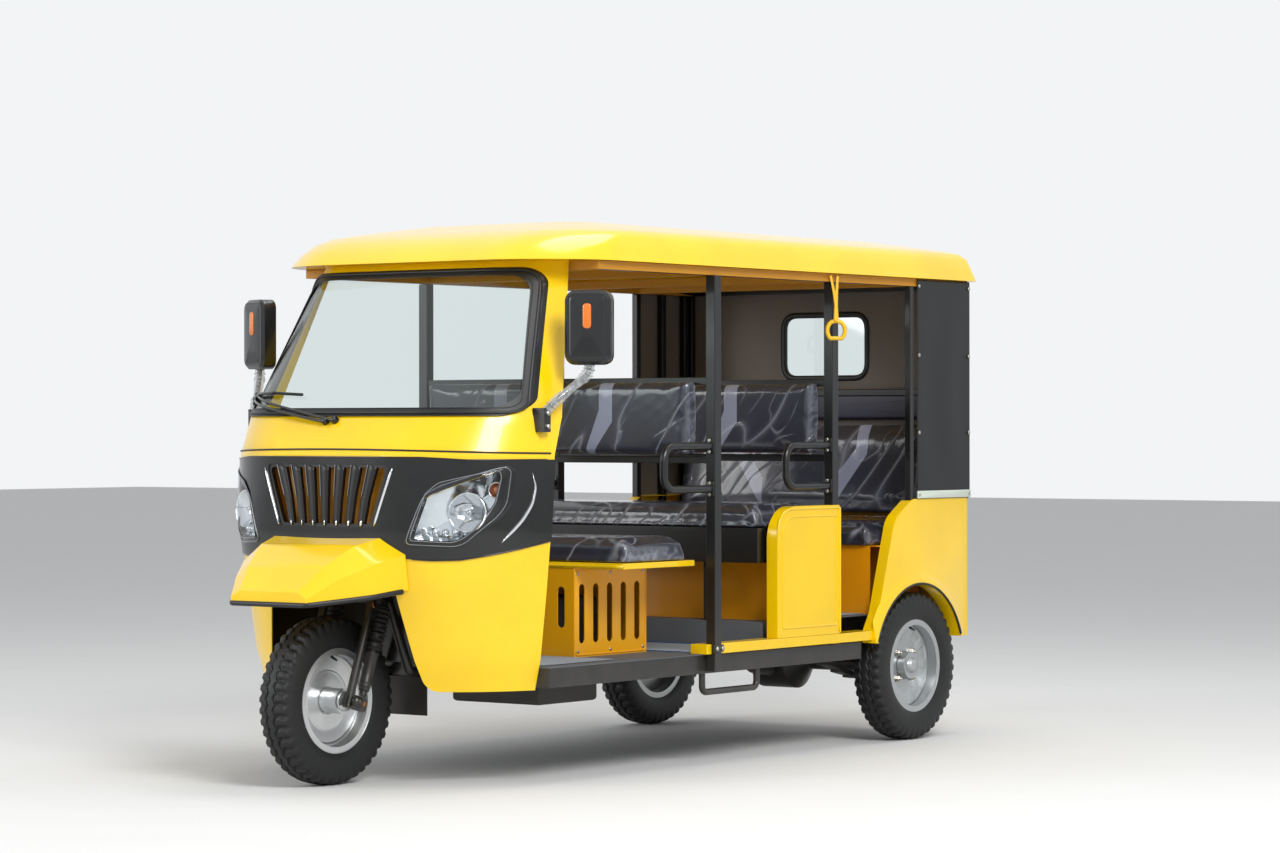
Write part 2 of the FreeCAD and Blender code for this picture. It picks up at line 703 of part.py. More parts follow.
def roof_shell():
    """The crowned moulding, with a flange turned inwards that lies on the frame and the cab."""
    wall = float(s.mould_wall)
    low = float(s.roof_bottom)
    half = float(roof_half_width)
    above = Part.makeBox(2 * half, float(s.roof_rear), float(s.roof_rise), V(-half, 0, low + wall))
    inside = roof_form(wall).common(above)
    rail = s.body_half_width - s.sheet_thick - s.fit_gap - s.frame_tube
    front, rear = frame_front + s.frame_tube, rear_post_y - s.frame_tube / 2
    hollow = slab([(-rail, front, 40), (rail, front, 40), (rail, rear, 20), (-rail, rear, 20)], "XY", low - 5, low + 20)
    publish("roof_shell", solid("roof_moulding", roof_form(0).cut([inside, hollow])))


def post_x(proud):
    """Inner and outer faces of a post."""
    outer = s.body_half_width + proud
    return outer - s.post_width, outer


second_post_x = post_x(-(s.sheet_thick + s.fit_gap))
curtain_post_x = (second_post_x[1] - s.bar_width, second_post_x[1])
CURTAIN_POSTS = (s.third_post_y, s.third_post_y + 165, s.third_post_y + 310, rear_post_y)


def roof_frame():
    low, high = post_top, s.roof_bottom
    outer = second_post_x[1]
    end = rear_post_y + s.bar_width / 2
    rails = [block("roof_rail", (outer - s.frame_tube, outer), (frame_front, end), (low, high))]
    rails.append(mirrored("right_roof_rail", rails[0]))
    bows = []
    for index, middle in enumerate((frame_front + s.frame_tube / 2, s.first_post_y, s.second_post_y, s.third_post_y,
                                    end - s.frame_tube / 2)):
        bows.append(block("roof_bow_%d" % index, (-(outer - s.frame_tube), outer - s.frame_tube),
                          (middle - s.frame_tube / 2, middle + s.frame_tube / 2), (low, high)))
    publish("roof_frame", gather("roof_tubes", fuse("roof_ladder", *rails, *bows)))


def posts():
    half = s.post_width / 2
    thin = s.bar_width / 2
    first = block("first_post", post_x(s.post_proud), (s.first_post_y - half, s.first_post_y + half),
                  (s.rail_bottom + 7, post_top))
    second = block("second_post", second_post_x, (s.second_post_y - half, s.second_post_y + half),
                   (floor_top, post_top))
    made = [first, second]
    for index, middle in enumerate(CURTAIN_POSTS):
        foot = raised_top if index == len(CURTAIN_POSTS) - 1 else s.quarter_top - 120
        made.append(block("curtain_post_%d" % index, curtain_post_x, (middle - thin, middle + thin),
                          (foot, post_top)))
    left = gather("left_posts", *made)
    inner = curtain_post_x[0]
    bar = block("rear_bar", (-inner, inner), (rear_post_y - thin, rear_post_y + thin), (1247, 1272))
    publish("posts", gather("all_posts", left, mirrored("right_posts", left), bar))


def sills():
    bar = block("sill_bar", (sill_inner, s.body_half_width), (s.sill_front, s.rear_seat_panel - 90),
                (floor_top, sill_top))
    half = s.post_width / 2 + s.fit_gap
    slots = []
    for name, faces, middle in (("first", post_x(s.post_proud), s.first_post_y),
                                ("second", second_post_x, s.second_post_y)):
        slots.append(block(name + "_post_slot", (faces[0] - s.fit_gap, faces[1] + s.fit_gap),
                           (middle - half, middle + half), (floor_top - 5, sill_top + 5)))
    left = cut("left_sill", bar, *slots)
    publish("sills", gather("sill_pair", left, mirrored("right_sill", left)))


def post_slot(faces, middle, width, level):
    """The way of a post through a folded edge at one level."""
    gap = float(s.fit_gap)
    span = float(width) + 2 * gap
    return Part.makeBox(float(faces[1]) - float(faces[0]) + 60, span, 60,
                        V(float(faces[0]) - 60 + gap, float(middle) - span / 2, float(level) - 30))


def side_panels():
    """A pressing with its front and top edges folded inwards."""
    front, rear = panel_rear - s.panel_length, panel_rear
    t = float(s.sheet_thick)
    radius = float(s.panel_corner)
    base = float(sill_top) + float(s.fit_gap)
    outer = slab([(rear, base, 0), (rear, s.panel_top, 12), (front, s.panel_top, radius), (front, base, 0)],
                 "YZ", s.body_half_width - s.panel_depth, s.body_half_width)
    inner = slab([(float(rear) - t, base - 1, 0), (float(rear) - t, float(s.panel_top) - t, 9),
                  (float(front) + t, float(s.panel_top) - t, radius - t), (float(front) + t, base - 1, 0)],
                 "YZ", s.body_half_width - s.panel_depth - 1, s.body_half_width - t)
    way = post_slot(second_post_x, s.second_post_y, s.post_width, s.panel_top)
    left = solid("left_side_panel", outer.cut(inner).cut(way))
    publish("side_panels", gather("side_panel_pair", left, mirrored("right_side_panel", left)))


# Rear body: quarter panels round the wheels, rear panel, rear wall and curtains.
quarter_front = s.rear_seat_panel - 90


def quarter_outline(inset):
    """Corners of a quarter panel seen from the side, without its wheel arch."""
    rear = float(s.quarter_rear) - inset
    top = float(s.quarter_top) - inset
    low = float(s.quarter_bottom) - (1 if inset else 0)
    axle = float(s.wheelbase)
    foot = float(quarter_front) + inset
    return [(rear, low, 0), (rear, top, 6), (axle - 30 + inset * 0.4, top, 60),
            (axle - 148 + inset, top - 70, 90), (axle - 255 + inset, float(sill_top) + 60, 120),
            (foot, float(sill_top), 0), (foot, low, 0)]


def quarter_panel():
    t = float(s.sheet_thick)
    face = float(s.body_half_width)
    depth = float(s.panel_depth)
    outer = slab(quarter_outline(0), "YZ", face - depth, face)
    inner = slab(quarter_outline(t), "YZ", face - depth - 1, face - t)
    panel = outer.cut(inner)
    axle = V(face - depth, float(rear_axle_y), float(s.tyre_radius))
    arch = float(s.tyre_radius) + float(s.arch_gap)
    flare = float(s.arch_flare)
    sweep = V(1, 0, 0)
    swell = Part.makeCone(arch + 46, arch + 14, flare, V(face, axle.y, axle.z), sweep)
    lip = Part.makeCylinder(arch + t, depth - t, axle, sweep)
    length = float(s.quarter_rear - quarter_front)
    keep = Part.makeBox(depth + flare + 2, length, float(s.quarter_top - s.quarter_bottom),
                        V(axle.x - 1, float(quarter_front), float(s.quarter_bottom)))
    panel = panel.fuse([swell.common(keep), lip.common(keep)])
    panel = panel.cut(Part.makeCylinder(arch, 2 * face, V(0, axle.y, axle.z), sweep))
    panel = panel.cut([post_slot(curtain_post_x, middle, s.bar_width, s.quarter_top) for middle in CURTAIN_POSTS])
    return panel.removeSplitter()


def quarter_panels():
    left = solid("left_quarter", quarter_panel())
    publish("quarter_panels", gather("quarter_pair", left, mirrored("right_quarter", left)))


def rear_panel():
    half = float(s.body_half_width) - float(s.panel_depth) - float(s.fit_gap)
    y = float(s.quarter_rear)
    t = float(s.sheet_thick)
    low, high = float(s.quarter_bottom), float(s.quarter_top)
    shape = slab(rectangle(-half, half, low, high), "XZ", y - 30, y)
    shape = shape.cut(slab(rectangle(-half + t, half - t, low + t, high - t), "XZ", y - 31, y - t))
    rib = slab(rectangle(-half + 90, half - 90, low + 90, high - 100, 30), "XZ", y - t, y + 6)
    hollow = slab(rectangle(-half + 93, half - 93, low + 93, high - 103, 27), "XZ", y - 40, y + 6 - t)
    publish("rear_panel", solid("rear_pressing", shape.fuse(rib).cut(hollow)))


def tail_lamps():
    y = float(s.quarter_rear) + float(s.fit_gap)
    half = float(s.body_half_width)
    left = slab(rectangle(half - 118, half - 46, 560, 720, 12), "XZ", y, y + 34)
    lamp = solid("left_tail_lamp", left)
    publish("tail_lamps", gather("tail_lamp_pair", lamp, mirrored("right_tail_lamp", lamp)))


def rear_wall():
    y, t = float(s.quarter_rear + s.fit_gap), float(s.wall_thick)
    half = float(s.body_half_width) - 2
    low, high = float(s.quarter_top) - 6, float(s.roof_bottom - s.fit_gap)
    window = rectangle(-float(s.window_half_width), float(s.window_half_width), float(s.window_bottom),
                       float(s.window_bottom) + float(s.window_height), float(s.window_corner))
    wall = slab(rectangle(-half, half, low, high), "XZ", y, y + t).cut(slab(window, "XZ", y - 5, y + t + 5))
    publish("rear_wall", solid("rear_wall_panel", wall))


def curtains():
    inner = s.body_half_width + s.fit_gap
    left = block("left_curtain", (inner, inner + s.curtain_thick), (s.curtain_front, s.quarter_rear + 12),
                 (s.curtain_bottom, s.roof_bottom - s.fit_gap))
    publish("curtains", gather("curtain_pair", left, mirrored("right_curtain", left)))


# Seats: the driver's seat on the engine cover, the middle bench and the rear bench.
def engine_cover():
    """Folded steel cover with rounded slots in its sides and front."""
    t = float(s.sheet_thick)
    half, front = float(s.cover_half_width), float(s.cover_front)
    rear = front + float(s.cover_length)
    low, high = float(floor_top), float(floor_top) + float(s.cover_height)
    shell = Part.makeBox(2 * half, rear - front, high - low, V(-half, front, low))
    shell = shell.cut(Part.makeBox(2 * (half - t), rear - front - 2 * t, high - low, V(-half + t, front + t, low - t)))
    width, height = float(s.slot_width), float(s.slot_height)
    bottom = low + 45
    cutters = []
    for index in range(5):
        middle = front + float(s.cover_length) * (0.107 + 0.19 * index)
        cutters.append(slab(rectangle(middle - width / 2, middle + width / 2, bottom, bottom + height,
                                      width / 2 - 0.01), "YZ", -half - 5, half + 5))
    for side in (-1, 1):
        middle = side * (half - 54)
        cutters.append(slab(rectangle(middle - width / 2, middle + width / 2, bottom + 52, bottom + height - 8,
                                      width / 2 - 0.01), "XZ", front - 5, front + t + 5))
    publish("engine_cover", solid("slotted_cover", shell.cut(cutters)))


def engine_block():
    """The engine as one plain block on two bearers between the cross members."""
    front = s.cover_front + 40
    half = s.engine_half_width
    engine = block("engine", (-half, half), (front, front + 320), (205, 560))
    bearers = []
    for index, low in enumerate((-half + 20, half - 50)):
        bearers.append(block("bearer_%d" % index, (low, low + 30), (cover_bar_y + 20, s.first_post_y - 20),
                             (s.rail_bottom + 10, s.rail_bottom + 36)))
    publish("engine_block", fuse("engine_and_bearers", engine, *bearers))


plate_low = floor_top + s.cover_height
plate_high = plate_low + s.seat_plate_thick


def pad(low, high, bevel, flat=None):
    """A plain upholstered block with bevelled edges, or with one flat side that keeps its sharp edges."""
    size = high - low
    box = Part.makeBox(size.x, size.y, size.z, low)
    edges = box.Edges
    if flat == "rear":
        edges = [edge for edge in edges if edge.BoundBox.YMin < high.y - 1]
    return box.makeChamfer(bevel, edges)


def seat_cushions():
    half = float(seat_half_width)
    gap = float(s.fit_gap)
    thick = float(s.cushion_thick)
    bevel = float(s.cushion_bevel)
    rows = (
        # name, front, length, underside
        ("driver_cushion", float(s.cover_front) + 4, float(s.cover_length) - 34, float(plate_high)),
        ("bench_cushion", float(s.bench_front), float(s.second_post_y) - 30 - float(s.bench_front), float(s.bench_top)),
        ("rear_cushion", float(s.rear_seat_front), 430, float(s.rear_seat_top)),
    )
    made = []
    for name, front, length, under in rows:
        low = V(-half, front, under + gap)
        made.append(solid(name, pad(low, low + V(2 * half, length, thick), bevel)))
    publish("seat_cushions", gather("cushions", *made))


def seat_backs():
    half = float(seat_half_width)
    thick, height, low = float(s.back_thick), float(s.back_height), float(s.back_bottom)
    made = []
    for name, post in (("driver_back", s.first_post_y), ("bench_back", s.second_post_y)):
        rear = float(post) - float(s.bar_width) / 2 - float(s.fit_gap)
        base = V(-half, rear - thick, low)
        made.append(solid(name, pad(base, base + V(2 * half, thick, height), float(s.cushion_bevel), "rear")))
    gap = float(s.fit_gap)
    deep, tall, lean = float(s.rear_back_thick), float(s.rear_back_height), math.radians(float(s.rear_back_lean))
    base = V(-half + 12, -deep, 0)
    back = pad(base, base + V(2 * half - 24, deep, tall), float(s.cushion_bevel), "rear")
    back.rotate(V(), V(1, 0, 0), -float(s.rear_back_lean))
    level = float(s.rear_seat_top) + float(s.cushion_thick) + 2 * gap
    bar_front = float(CURTAIN_POSTS[2]) - float(s.bar_width) / 2
    rise = float(s.rear_bar_top) - level
    back.translate(V(0, bar_front - gap - rise * math.tan(lean), level))
    made.append(solid("rear_back", Part.makeCompound([back])))
    publish("seat_backs", gather("backs", *made))


def seat_back_bars():
    bars = []
    width = s.bar_width
    for name, post, inner in (("first", s.first_post_y, post_x(s.post_proud)[0]),
                              ("second", s.second_post_y, second_post_x[0])):
        for place_name, low in (("lower", s.back_bottom - 20), ("upper", s.back_bottom + s.back_height - 12)):
            bars.append(block("%s_%s_bar" % (name, place_name), (-inner, inner), (post - width / 2, post + width / 2),
                              (low, low + width)))
    inner, middle = curtain_post_x[0], CURTAIN_POSTS[2]
    bars.append(block("rear_back_bar", (-inner, inner), (middle - width / 2, middle + width / 2),
                      (s.rear_bar_top - width, s.rear_bar_top)))
    publish("seat_back_bars", gather("back_bars", *bars))


def seat_frames():
    """The driver's folded seat plate, and the middle bench's dark skirt with two front legs."""
    wide = seat_half_width - 8
    plate = block("driver_seat_plate", (-wide, wide), (s.cover_front, s.cover_front + s.cover_length),
                  (plate_low, plate_high))
    half = seat_half_width
    front, rear = s.bench_front + 10, s.second_post_y - 30
    low = s.bench_top - s.bench_skirt
    ring = block("bench_skirt", (-half, half), (front, rear), (low, s.bench_top))
    hollow = block("bench_hollow", (-half + 12, half - 12), (front + 12, rear - 12), (low - 1, s.bench_top - 12))
    legs = []
    for index, middle in enumerate((-320, 320)):
        legs.append(block("bench_leg_%d" % index, (middle - 15, middle + 15), (s.step_y + 6, s.step_y + 36),
                          (raised_top, s.bench_top - 12)))
    bench = fuse("bench_with_legs", cut("bench_ring", ring, hollow), *legs)
    publish("seat_frames", gather("plate_and_bench", plate, bench))


def seat_boxes():
    """Upright panels below the middle and rear benches."""
    half = sill_inner - s.fit_gap
    t = s.sheet_thick
    rear = s.second_post_y - s.post_width / 2 - s.fit_gap
    top = s.bench_top - s.bench_skirt
    front_box = cut("bench_box", block("bench_box_outer", (-half, half), (s.box_front, rear), (raised_top, top)),
                    block("bench_box_inner", (-half + t, half - t), (s.box_front + t, rear - t),
                          (raised_top - 1, top - t)))
    inner = rear_rail_span
    wide = s.body_half_width - s.panel_depth - s.fit_gap
    base_top = s.rear_seat_top
    end = s.quarter_rear - 32
    front_panel = block("rear_seat_front", (-half, half), (s.rear_seat_panel, s.rear_seat_panel + t),
                        (raised_top, base_top))
    top_plate = block("rear_seat_plate", (-wide, wide), (s.rear_seat_panel, end), (base_top - t, base_top))
    walls = []
    for index, side in enumerate((-1, 1)):
        low_x = inner * side if side < 0 else inner - t
        walls.append(block("wheel_house_%d" % index, (low_x, low_x + t), (s.rear_seat_panel, end),
                           (raised_top, base_top)))
    publish("seat_boxes", gather("boxes", front_box, fuse("rear_seat_base", front_panel, top_plate, *walls)))


# Small fittings on the frame and the cab.
def handles_and_steps():
    made = []
    for name, x, y in (("first", float(s.body_half_width) + float(s.post_proud) - 19,
                        float(s.first_post_y) - float(s.post_width) / 2),
                       ("second", float(second_post_x[1]) - 19, float(s.second_post_y) - float(s.post_width) / 2)):
        reach = float(s.handle_reach)
        loop = bent_bar([(x, y, 925), (x, y - reach, 925), (x, y - reach, 1068), (x, y, 1068)], 50, 13)
        made.append(solid(name + "_handle", loop))
    x = float(rail_half_span) - 20
    low = float(s.rail_bottom)
    step = bent_bar([(x, 1226, low), (x, 1226, low - 64), (x, 1545, low - 64), (x, 1545, low)], 22, 11)
    made.append(solid("foot_step", step))
    left = gather("left_handles", *made)
    publish("handles_and_steps", gather("all_handles", left, mirrored("right_handles", left)))


def mirrors():
    """Mirror heads turned towards the driver, on bent arms clamped to the cab."""
    x, y, z = float(mirror_x), float(s.mirror_y), float(s.mirror_z)
    wide, high = float(s.mirror_width) / 2, float(s.mirror_height) / 2
    face = slab(rectangle(x - wide, x + wide, z - high, z + high, 34), "XZ", y - 26, y + 26)
    head = face.makeChamfer(10, [edge for edge in face.Edges if edge.CenterOfMass.y < y - 25])
    head.rotate(V(x, y, z), V(0, 0, 1), float(s.mirror_turn))
    side = float(cab_half_width)
    arm = bent_bar([(x, y, z - high + 4), (x, y, z - high - 26), (x - 70, y - 95, z - high - 120),
                    (side - 6, y - 118, z - high - 150)], 24, 9)
    clamp = Part.makeBox(46, 34, 76, V(side - 40, y - 136, z - high - 212))
    left = solid("left_mirror", head.fuse([arm, clamp]).cut(cab_loft(float(s.fit_gap))))
    publish("mirrors", gather("mirror_pair", left, mirrored("right_mirror", left)))


def hand_straps():
    """Bands hung from the roof frame behind the second posts, each with a flat ring."""
    y = float(s.second_post_y) + float(s.post_width) / 2 + 8
    x = float(second_post_x[0]) + 16
    top = float(post_top)
    band = Part.makeBox(22, 3, 140, V(x - 11, y, top - 140))
    middle = V(x, y - 2.5, top - 170)
    ring = Part.makeCylinder(35, 8, middle, V(0, 1, 0)).cut(Part.makeCylinder(25, 8, middle, V(0, 1, 0)))
    made = solid("left_strap", band.fuse(ring))
    publish("hand_straps", gather("strap_pair", made, mirrored("right_strap", made)))


# Running gear.
spring_eye_z = s.tyre_radius + 22
spring_seat_z = s.tyre_radius - s.axle_tube_radius
shaft_front = s.cover_front + 360.3


def rear_axle():
    """Axle tube with its differential housing, brake plates, stub axles and propeller shaft."""
    y, z = float(rear_axle_y), float(s.tyre_radius)
    half = float(s.rear_track) / 2
    tube, stub = float(s.axle_tube_radius), float(s.stub_radius)
    end, plate = half + 30, half - 62
    case, offset = 102, 40
    profile = [(-end, 0, 0), (-end, stub, 0), (-plate, stub, 0), (-plate, 88, 0), (14 - plate, 88, 0), (14 - plate, tube, 0),
               (offset - 128, tube, 0), (offset - 72, case, 0), (offset + 72, case, 0), (offset + 128, tube, 0),
               (plate - 14, tube, 0), (plate - 14, 88, 0), (plate, 88, 0), (plate, stub, 0), (end, stub, 0), (end, 0, 0)]
    housing = revolved(profile)
    housing.translate(V(0, y, z))
    nose = Part.makeCone(40, 58, 130, V(offset, y - 190, z), V(0, 1, 0))
    shaft = Part.makeCylinder(22, y - 190 - float(shaft_front), V(offset, float(shaft_front), z), V(0, 1, 0))
    publish("rear_axle", solid("axle_housing", housing.fuse([nose, shaft])))


def spring_hangers():
    """Brackets that hold the springs' eyes below the rear rails."""
    width = (rear_rail_span - s.rail_width, rear_rail_span)
    made = []
    for index, side in enumerate((-1, 1)):
        eye = rear_axle_y + side * s.spring_span
        made.append(block("hanger_%d" % index, width, (eye - 20, eye + 20),
                          (spring_eye_z + s.spring_eye + s.fit_gap, rail_top)))
    left = gather("left_hangers", *made)
    publish("spring_hangers", gather("hanger_pairs", left, mirrored("right_hangers", left)))


def leaf_springs():
    """Three leaves of shrinking length on one arc, with an eye at each end."""
    y = float(rear_axle_y)
    seat, eye = float(spring_seat_z), float(spring_eye_z)
    t, width = float(s.leaf_thick), float(s.leaf_width)
    span = float(s.spring_span)
    x = float(rear_rail_span) - float(s.rail_width) / 2 - width / 2
    sag = eye - seat
    radius = (span * span + sag * sag) / (2 * sag)
    centre = V(x, y, seat + radius)
    leaves = []
    for index, share in enumerate((1.0, 0.72, 0.45)):
        ring = Part.makeCylinder(radius + (index + 1) * t, width, centre, V(1, 0, 0))
        ring = ring.cut(Part.makeCylinder(radius + index * t, width, centre, V(1, 0, 0)))
        reach = span * share
        window = Part.makeBox(width, 2 * reach, 200, V(x, y - reach, seat - 60))
        leaves.append(ring.common(window))
    clip = Part.makeBox(width + 10, 46, 3 * t + 6, V(x - 5, y - 23, seat - 3 * t - 6))
    eyes = [Part.makeCylinder(float(s.spring_eye), width, V(x, y + side * span, eye), V(1, 0, 0)) for side in (-1, 1)]
    left = solid("left_spring", leaves[0].fuse(leaves[1:] + eyes + [clip]).cut(
        Part.makeCylinder(float(s.axle_tube_radius), 200, V(x - 50, y, float(s.tyre_radius)), V(1, 0, 0))))
    publish("leaf_springs", gather("spring_pair", left, mirrored("right_spring", left)))


def front_fork():
    """Crown, steering column, fork legs and links, modelled upright and then raked."""
    x = float(s.fork_half_span)
    offset = float(s.fork_offset)
    crown = float(s.crown_height)
    plate = slab([(-x - 22, -52, 16), (x + 22, -52, 16), (x + 22, 34, 16), (-x - 22, 34, 16)], "XY", crown,
                 crown + float(s.crown_thick))
    column = Part.makeCylinder(float(s.steerer_radius), float(s.bar_height) - crown, V(0, 0, crown))
    axle = Part.makeCylinder(float(s.axle_radius), 2 * x + 44, V(-x - 22, -offset, 0), V(1, 0, 0))
    pieces = [column, axle]
    for side in (-1, 1):
        pieces.append(Part.makeCylinder(14, crown + 20, V(side * x, -offset - 6, -20)))
        link = slab([(-offset - 26, -24, 12), (44, -14, 12), (44, 32, 12), (-offset - 26, 22, 12)], "YZ",
                    side * x - 8, side * x + 8)
        pieces.append(link)
    publish("front_fork", solid("fork", plate.fuse(pieces)), foot_y, foot_z, rake_turn)


def front_shocks():
    """Spring units with a ribbed boot, each turned from one profile."""
    x = float(s.fork_half_span)
    y = 22
    crown = float(s.crown_height)
    low = 34
    profile = [(0, low), (12, low), (12, low + 26), (19, low + 30), (19, low + 150), (23, low + 154)]
    level = low + 160
    for _ in range(3):
        profile += [(25, level), (25, level + 16), (18, level + 22)]
        level += 30
    profile += [(11, level), (11, crown - float(s.fit_gap)), (0, crown - float(s.fit_gap))]
    line = [V(a, 0, b) for a, b in profile]
    turned = Part.Face(Part.makePolygon(line + line[:1])).revolve(V(), V(0, 0, 1), 360)
    units = []
    for side in (-1, 1):
        unit = turned.copy()
        unit.translate(V(side * x, y, 0))
        units.append(Part.makeCompound([unit]))
    publish("front_shocks", gather("shock_pair", solid("left_shock", units[1]), solid("right_shock", units[0])),
            foot_y, foot_z, rake_turn)


def handlebar():
    high = float(s.bar_height)
    end = float(s.grip_span)
    bar = bent_bar([(-end, 118, high + 8), (-end + 120, 62, high + 12), (-90, 8, high + 11), (90, 8, high + 11),
                    (end - 120, 62, high + 12), (end, 118, high + 8)], 55, 11)
    pod = Part.makeBox(150, 60, 44, V(-75, -22, high + 6))
    publish("handlebar", solid("bar_and_clamp", bar.fuse(pod)), foot_y, foot_z, rake_turn)


def tyre_shape():
    """Tyre section: a narrow bead on the rim, side walls that widen outwards, shoulders and a flat tread."""
    half = float(s.tyre_width) / 2
    outer, bead = float(s.tyre_radius), float(s.bead_radius)
    widest = (outer + bead) / 2
    seat = float(s.bead_half_width)
    tread = float(s.tread_half_width)
    return revolved([(-seat, bead, 0), (-half, widest, 0), (-tread, outer, 0), (tread, outer, 0), (half, widest, 0),
                     (seat, bead, 0)])


def rim_shape(disc, hub_radius, hub_half, bore):
    """Flanged rim, dished disc and hub turned in one; the disc's outer face lies at the given place."""
    half = float(s.rim_width) / 2
    flange, bead = float(s.rim_radius), float(s.bead_radius) - float(s.fit_gap)
    drum = bead - 5
    dish, thick = 12, 6
    return revolved([(-half, flange, 0), (-half, drum, 0), (disc - thick, drum, 0), (disc - dish - thick, 90, 0),
                     (disc - dish - thick, hub_radius, 0), (-hub_half, hub_radius, 0), (-hub_half, bore, 0),
                     (hub_half, bore, 0), (hub_half, hub_radius, 0), (disc - dish, hub_radius, 0),
                     (disc - dish, 90, 0), (disc, drum, 0), (half, drum, 0), (half, flange, 0), (half - 4, flange, 0),
                     (half - 5, bead, 0), (-half + 5, bead, 0), (-half + 4, flange, 0)])


def wheel(prefix, x, y, rim):
    """Publishes one tyre and one rim at an axle's end."""
    z = float(s.tyre_radius)
    for name, shape in ((prefix + "_tyre", tyre_shape()), (prefix + "_rim", rim)):
        moved = shape.copy()
        moved.translate(V(float(x), float(y), z))
        publish(name, solid(name + "_ring", Part.makeCompound([moved])))


def wheels():
    front_rim = rim_shape(12, 40, 72, float(s.axle_radius) + float(s.running_gap))
    wheel("front", 0, 0, front_rim)
    rear_rim = rim_shape(8, 48, 30, float(s.stub_radius) + float(s.running_gap))
    wheel("left", s.rear_track / 2, rear_axle_y, rear_rim)
    wheel("right", -s.rear_track / 2, rear_axle_y, rear_rim.mirror(V(), V(1, 0, 0)))


def build():
    """Makes every sub-part, checks it and writes its file."""
    for make in (frame_rails, cross_members, front_frame, floor_pan, cab_shell, nose_mask, grille, headlamps,
                 windows, front_fender, mudflap, bulkhead, roof_shell, roof_frame, posts, sills, side_panels,
                 quarter_panels, rear_panel, tail_lamps, rear_wall, curtains, engine_cover, engine_block,
                 seat_frames, seat_cushions, seat_backs, seat_back_bars, seat_boxes, handles_and_steps, mirrors,
                 hand_straps, rear_axle, spring_hangers, leaf_springs, front_fork, front_shocks, handlebar, wheels):
        make()
    doc.recompute()
    for item in doc.Objects:
        if "Invalid" in item.State or "Error" in item.State:
            raise RuntimeError("%s is %s" % (item.Name, item.State))
    unsound = [node.Label for node in nodes if node.Shape.isNull() or not node.Shape.isValid()]
    if unsound:
        raise RuntimeError("no valid shape: " + ", ".join(unsound))
    for node in nodes:
        node.Shape.exportStep("parts/%s.step" % node.Label)
        box = node.Shape.BoundBox
        print("%-18s %2d solids, x %.0f..%.0f y %.0f..%.0f z %.0f..%.0f" % (
            node.Label, len(node.Shape.Solids), box.XMin, box.XMax, box.YMin, box.YMax, box.ZMin, box.ZMax))


build()
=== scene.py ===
# %% [markdown]
# # Dressing an auto rickshaw
# A three-wheeler with a moulded cab, an open cabin and a moulded roof is already built to size in CAD.
# This lesson gives it its looks: finishes, padded seats, tyres, lamps and small fittings.
# Everything is in metres, in the CAD model's own frame, so a piece goes where its neighbours say.

# %% Load the frame
import json
import math

import bmesh
import bpy
import numpy as np
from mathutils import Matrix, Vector


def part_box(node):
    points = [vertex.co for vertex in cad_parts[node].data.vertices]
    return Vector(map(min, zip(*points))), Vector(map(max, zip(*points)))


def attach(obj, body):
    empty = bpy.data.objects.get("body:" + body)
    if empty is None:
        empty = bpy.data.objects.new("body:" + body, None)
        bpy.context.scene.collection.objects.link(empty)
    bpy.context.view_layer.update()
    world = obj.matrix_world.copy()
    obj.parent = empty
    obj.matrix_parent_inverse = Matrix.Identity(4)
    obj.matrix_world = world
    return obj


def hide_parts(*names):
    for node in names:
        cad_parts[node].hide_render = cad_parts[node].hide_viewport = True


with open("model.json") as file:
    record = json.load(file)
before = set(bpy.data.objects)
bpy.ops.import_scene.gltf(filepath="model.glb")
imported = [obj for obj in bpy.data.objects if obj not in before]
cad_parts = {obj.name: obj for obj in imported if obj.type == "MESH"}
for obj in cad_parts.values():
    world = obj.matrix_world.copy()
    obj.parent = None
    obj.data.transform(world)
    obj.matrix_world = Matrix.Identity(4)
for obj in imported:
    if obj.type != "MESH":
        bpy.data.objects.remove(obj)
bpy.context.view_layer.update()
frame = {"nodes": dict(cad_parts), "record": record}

nodes = frame["nodes"]
MM = 0.001
# The sign of x and the word for each side of the vehicle
SIDES = ((1, "left"), (-1, "right"))
# Edges that turn by more than this are sharp
SHARP_TURN = math.radians(32)

# %% [markdown]
# ## Places along the vehicle
# The CAD model's origin lies under the middle of the vehicle. Sizes read off a vehicle are easier from its
# front axle, so one function turns such places into the frame's own. The axle's place comes from the rim.

# %% Where the axles are
rim_low, rim_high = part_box("front_rim")
AXLE_Y = (rim_low.y + rim_high.y) / 2
AXLE_Z = (rim_low.z + rim_high.z) / 2 / MM
rear_low, rear_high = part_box("left_rim")
REAR_Y = ((rear_low.y + rear_high.y) / 2 - AXLE_Y) / MM
WHEEL_X = (rear_low.x + rear_high.x) / 2 / MM
print("front axle y %.3f z %.0f mm, rear axle %.0f mm behind it, rear wheels at x %.0f mm" % (
    AXLE_Y, AXLE_Z, REAR_Y, WHEEL_X))


def spot(points):
    """Places in millimetres from the ground below the front axle, as places in the frame in metres."""
    return np.asarray(points, float) * MM + (0.0, AXLE_Y, 0.0)


# %% [markdown]
# ## Surfaces from formulas
# Every new shape here is a grid: rows run one way over the surface and columns the other. Numpy works out
# the whole array of points at once, and the faces follow from the grid's own order.

# %% A mesh from a grid of points
def grid_faces(rows, columns, wrap_rows=False, wrap_columns=False):
    """Quads between neighbouring rows and columns; wrapping joins the last row or column to the first."""
    row = np.arange(rows if wrap_rows else rows - 1)[:, None]
    column = np.arange(columns if wrap_columns else columns - 1)[None, :]
    next_row, next_column = (row + 1) % rows, (column + 1) % columns
    quads = [row * columns + column, next_row * columns + column,
             next_row * columns + next_column, row * columns + next_column]
    return np.stack(np.broadcast_arrays(*quads), -1).reshape(-1, 4)


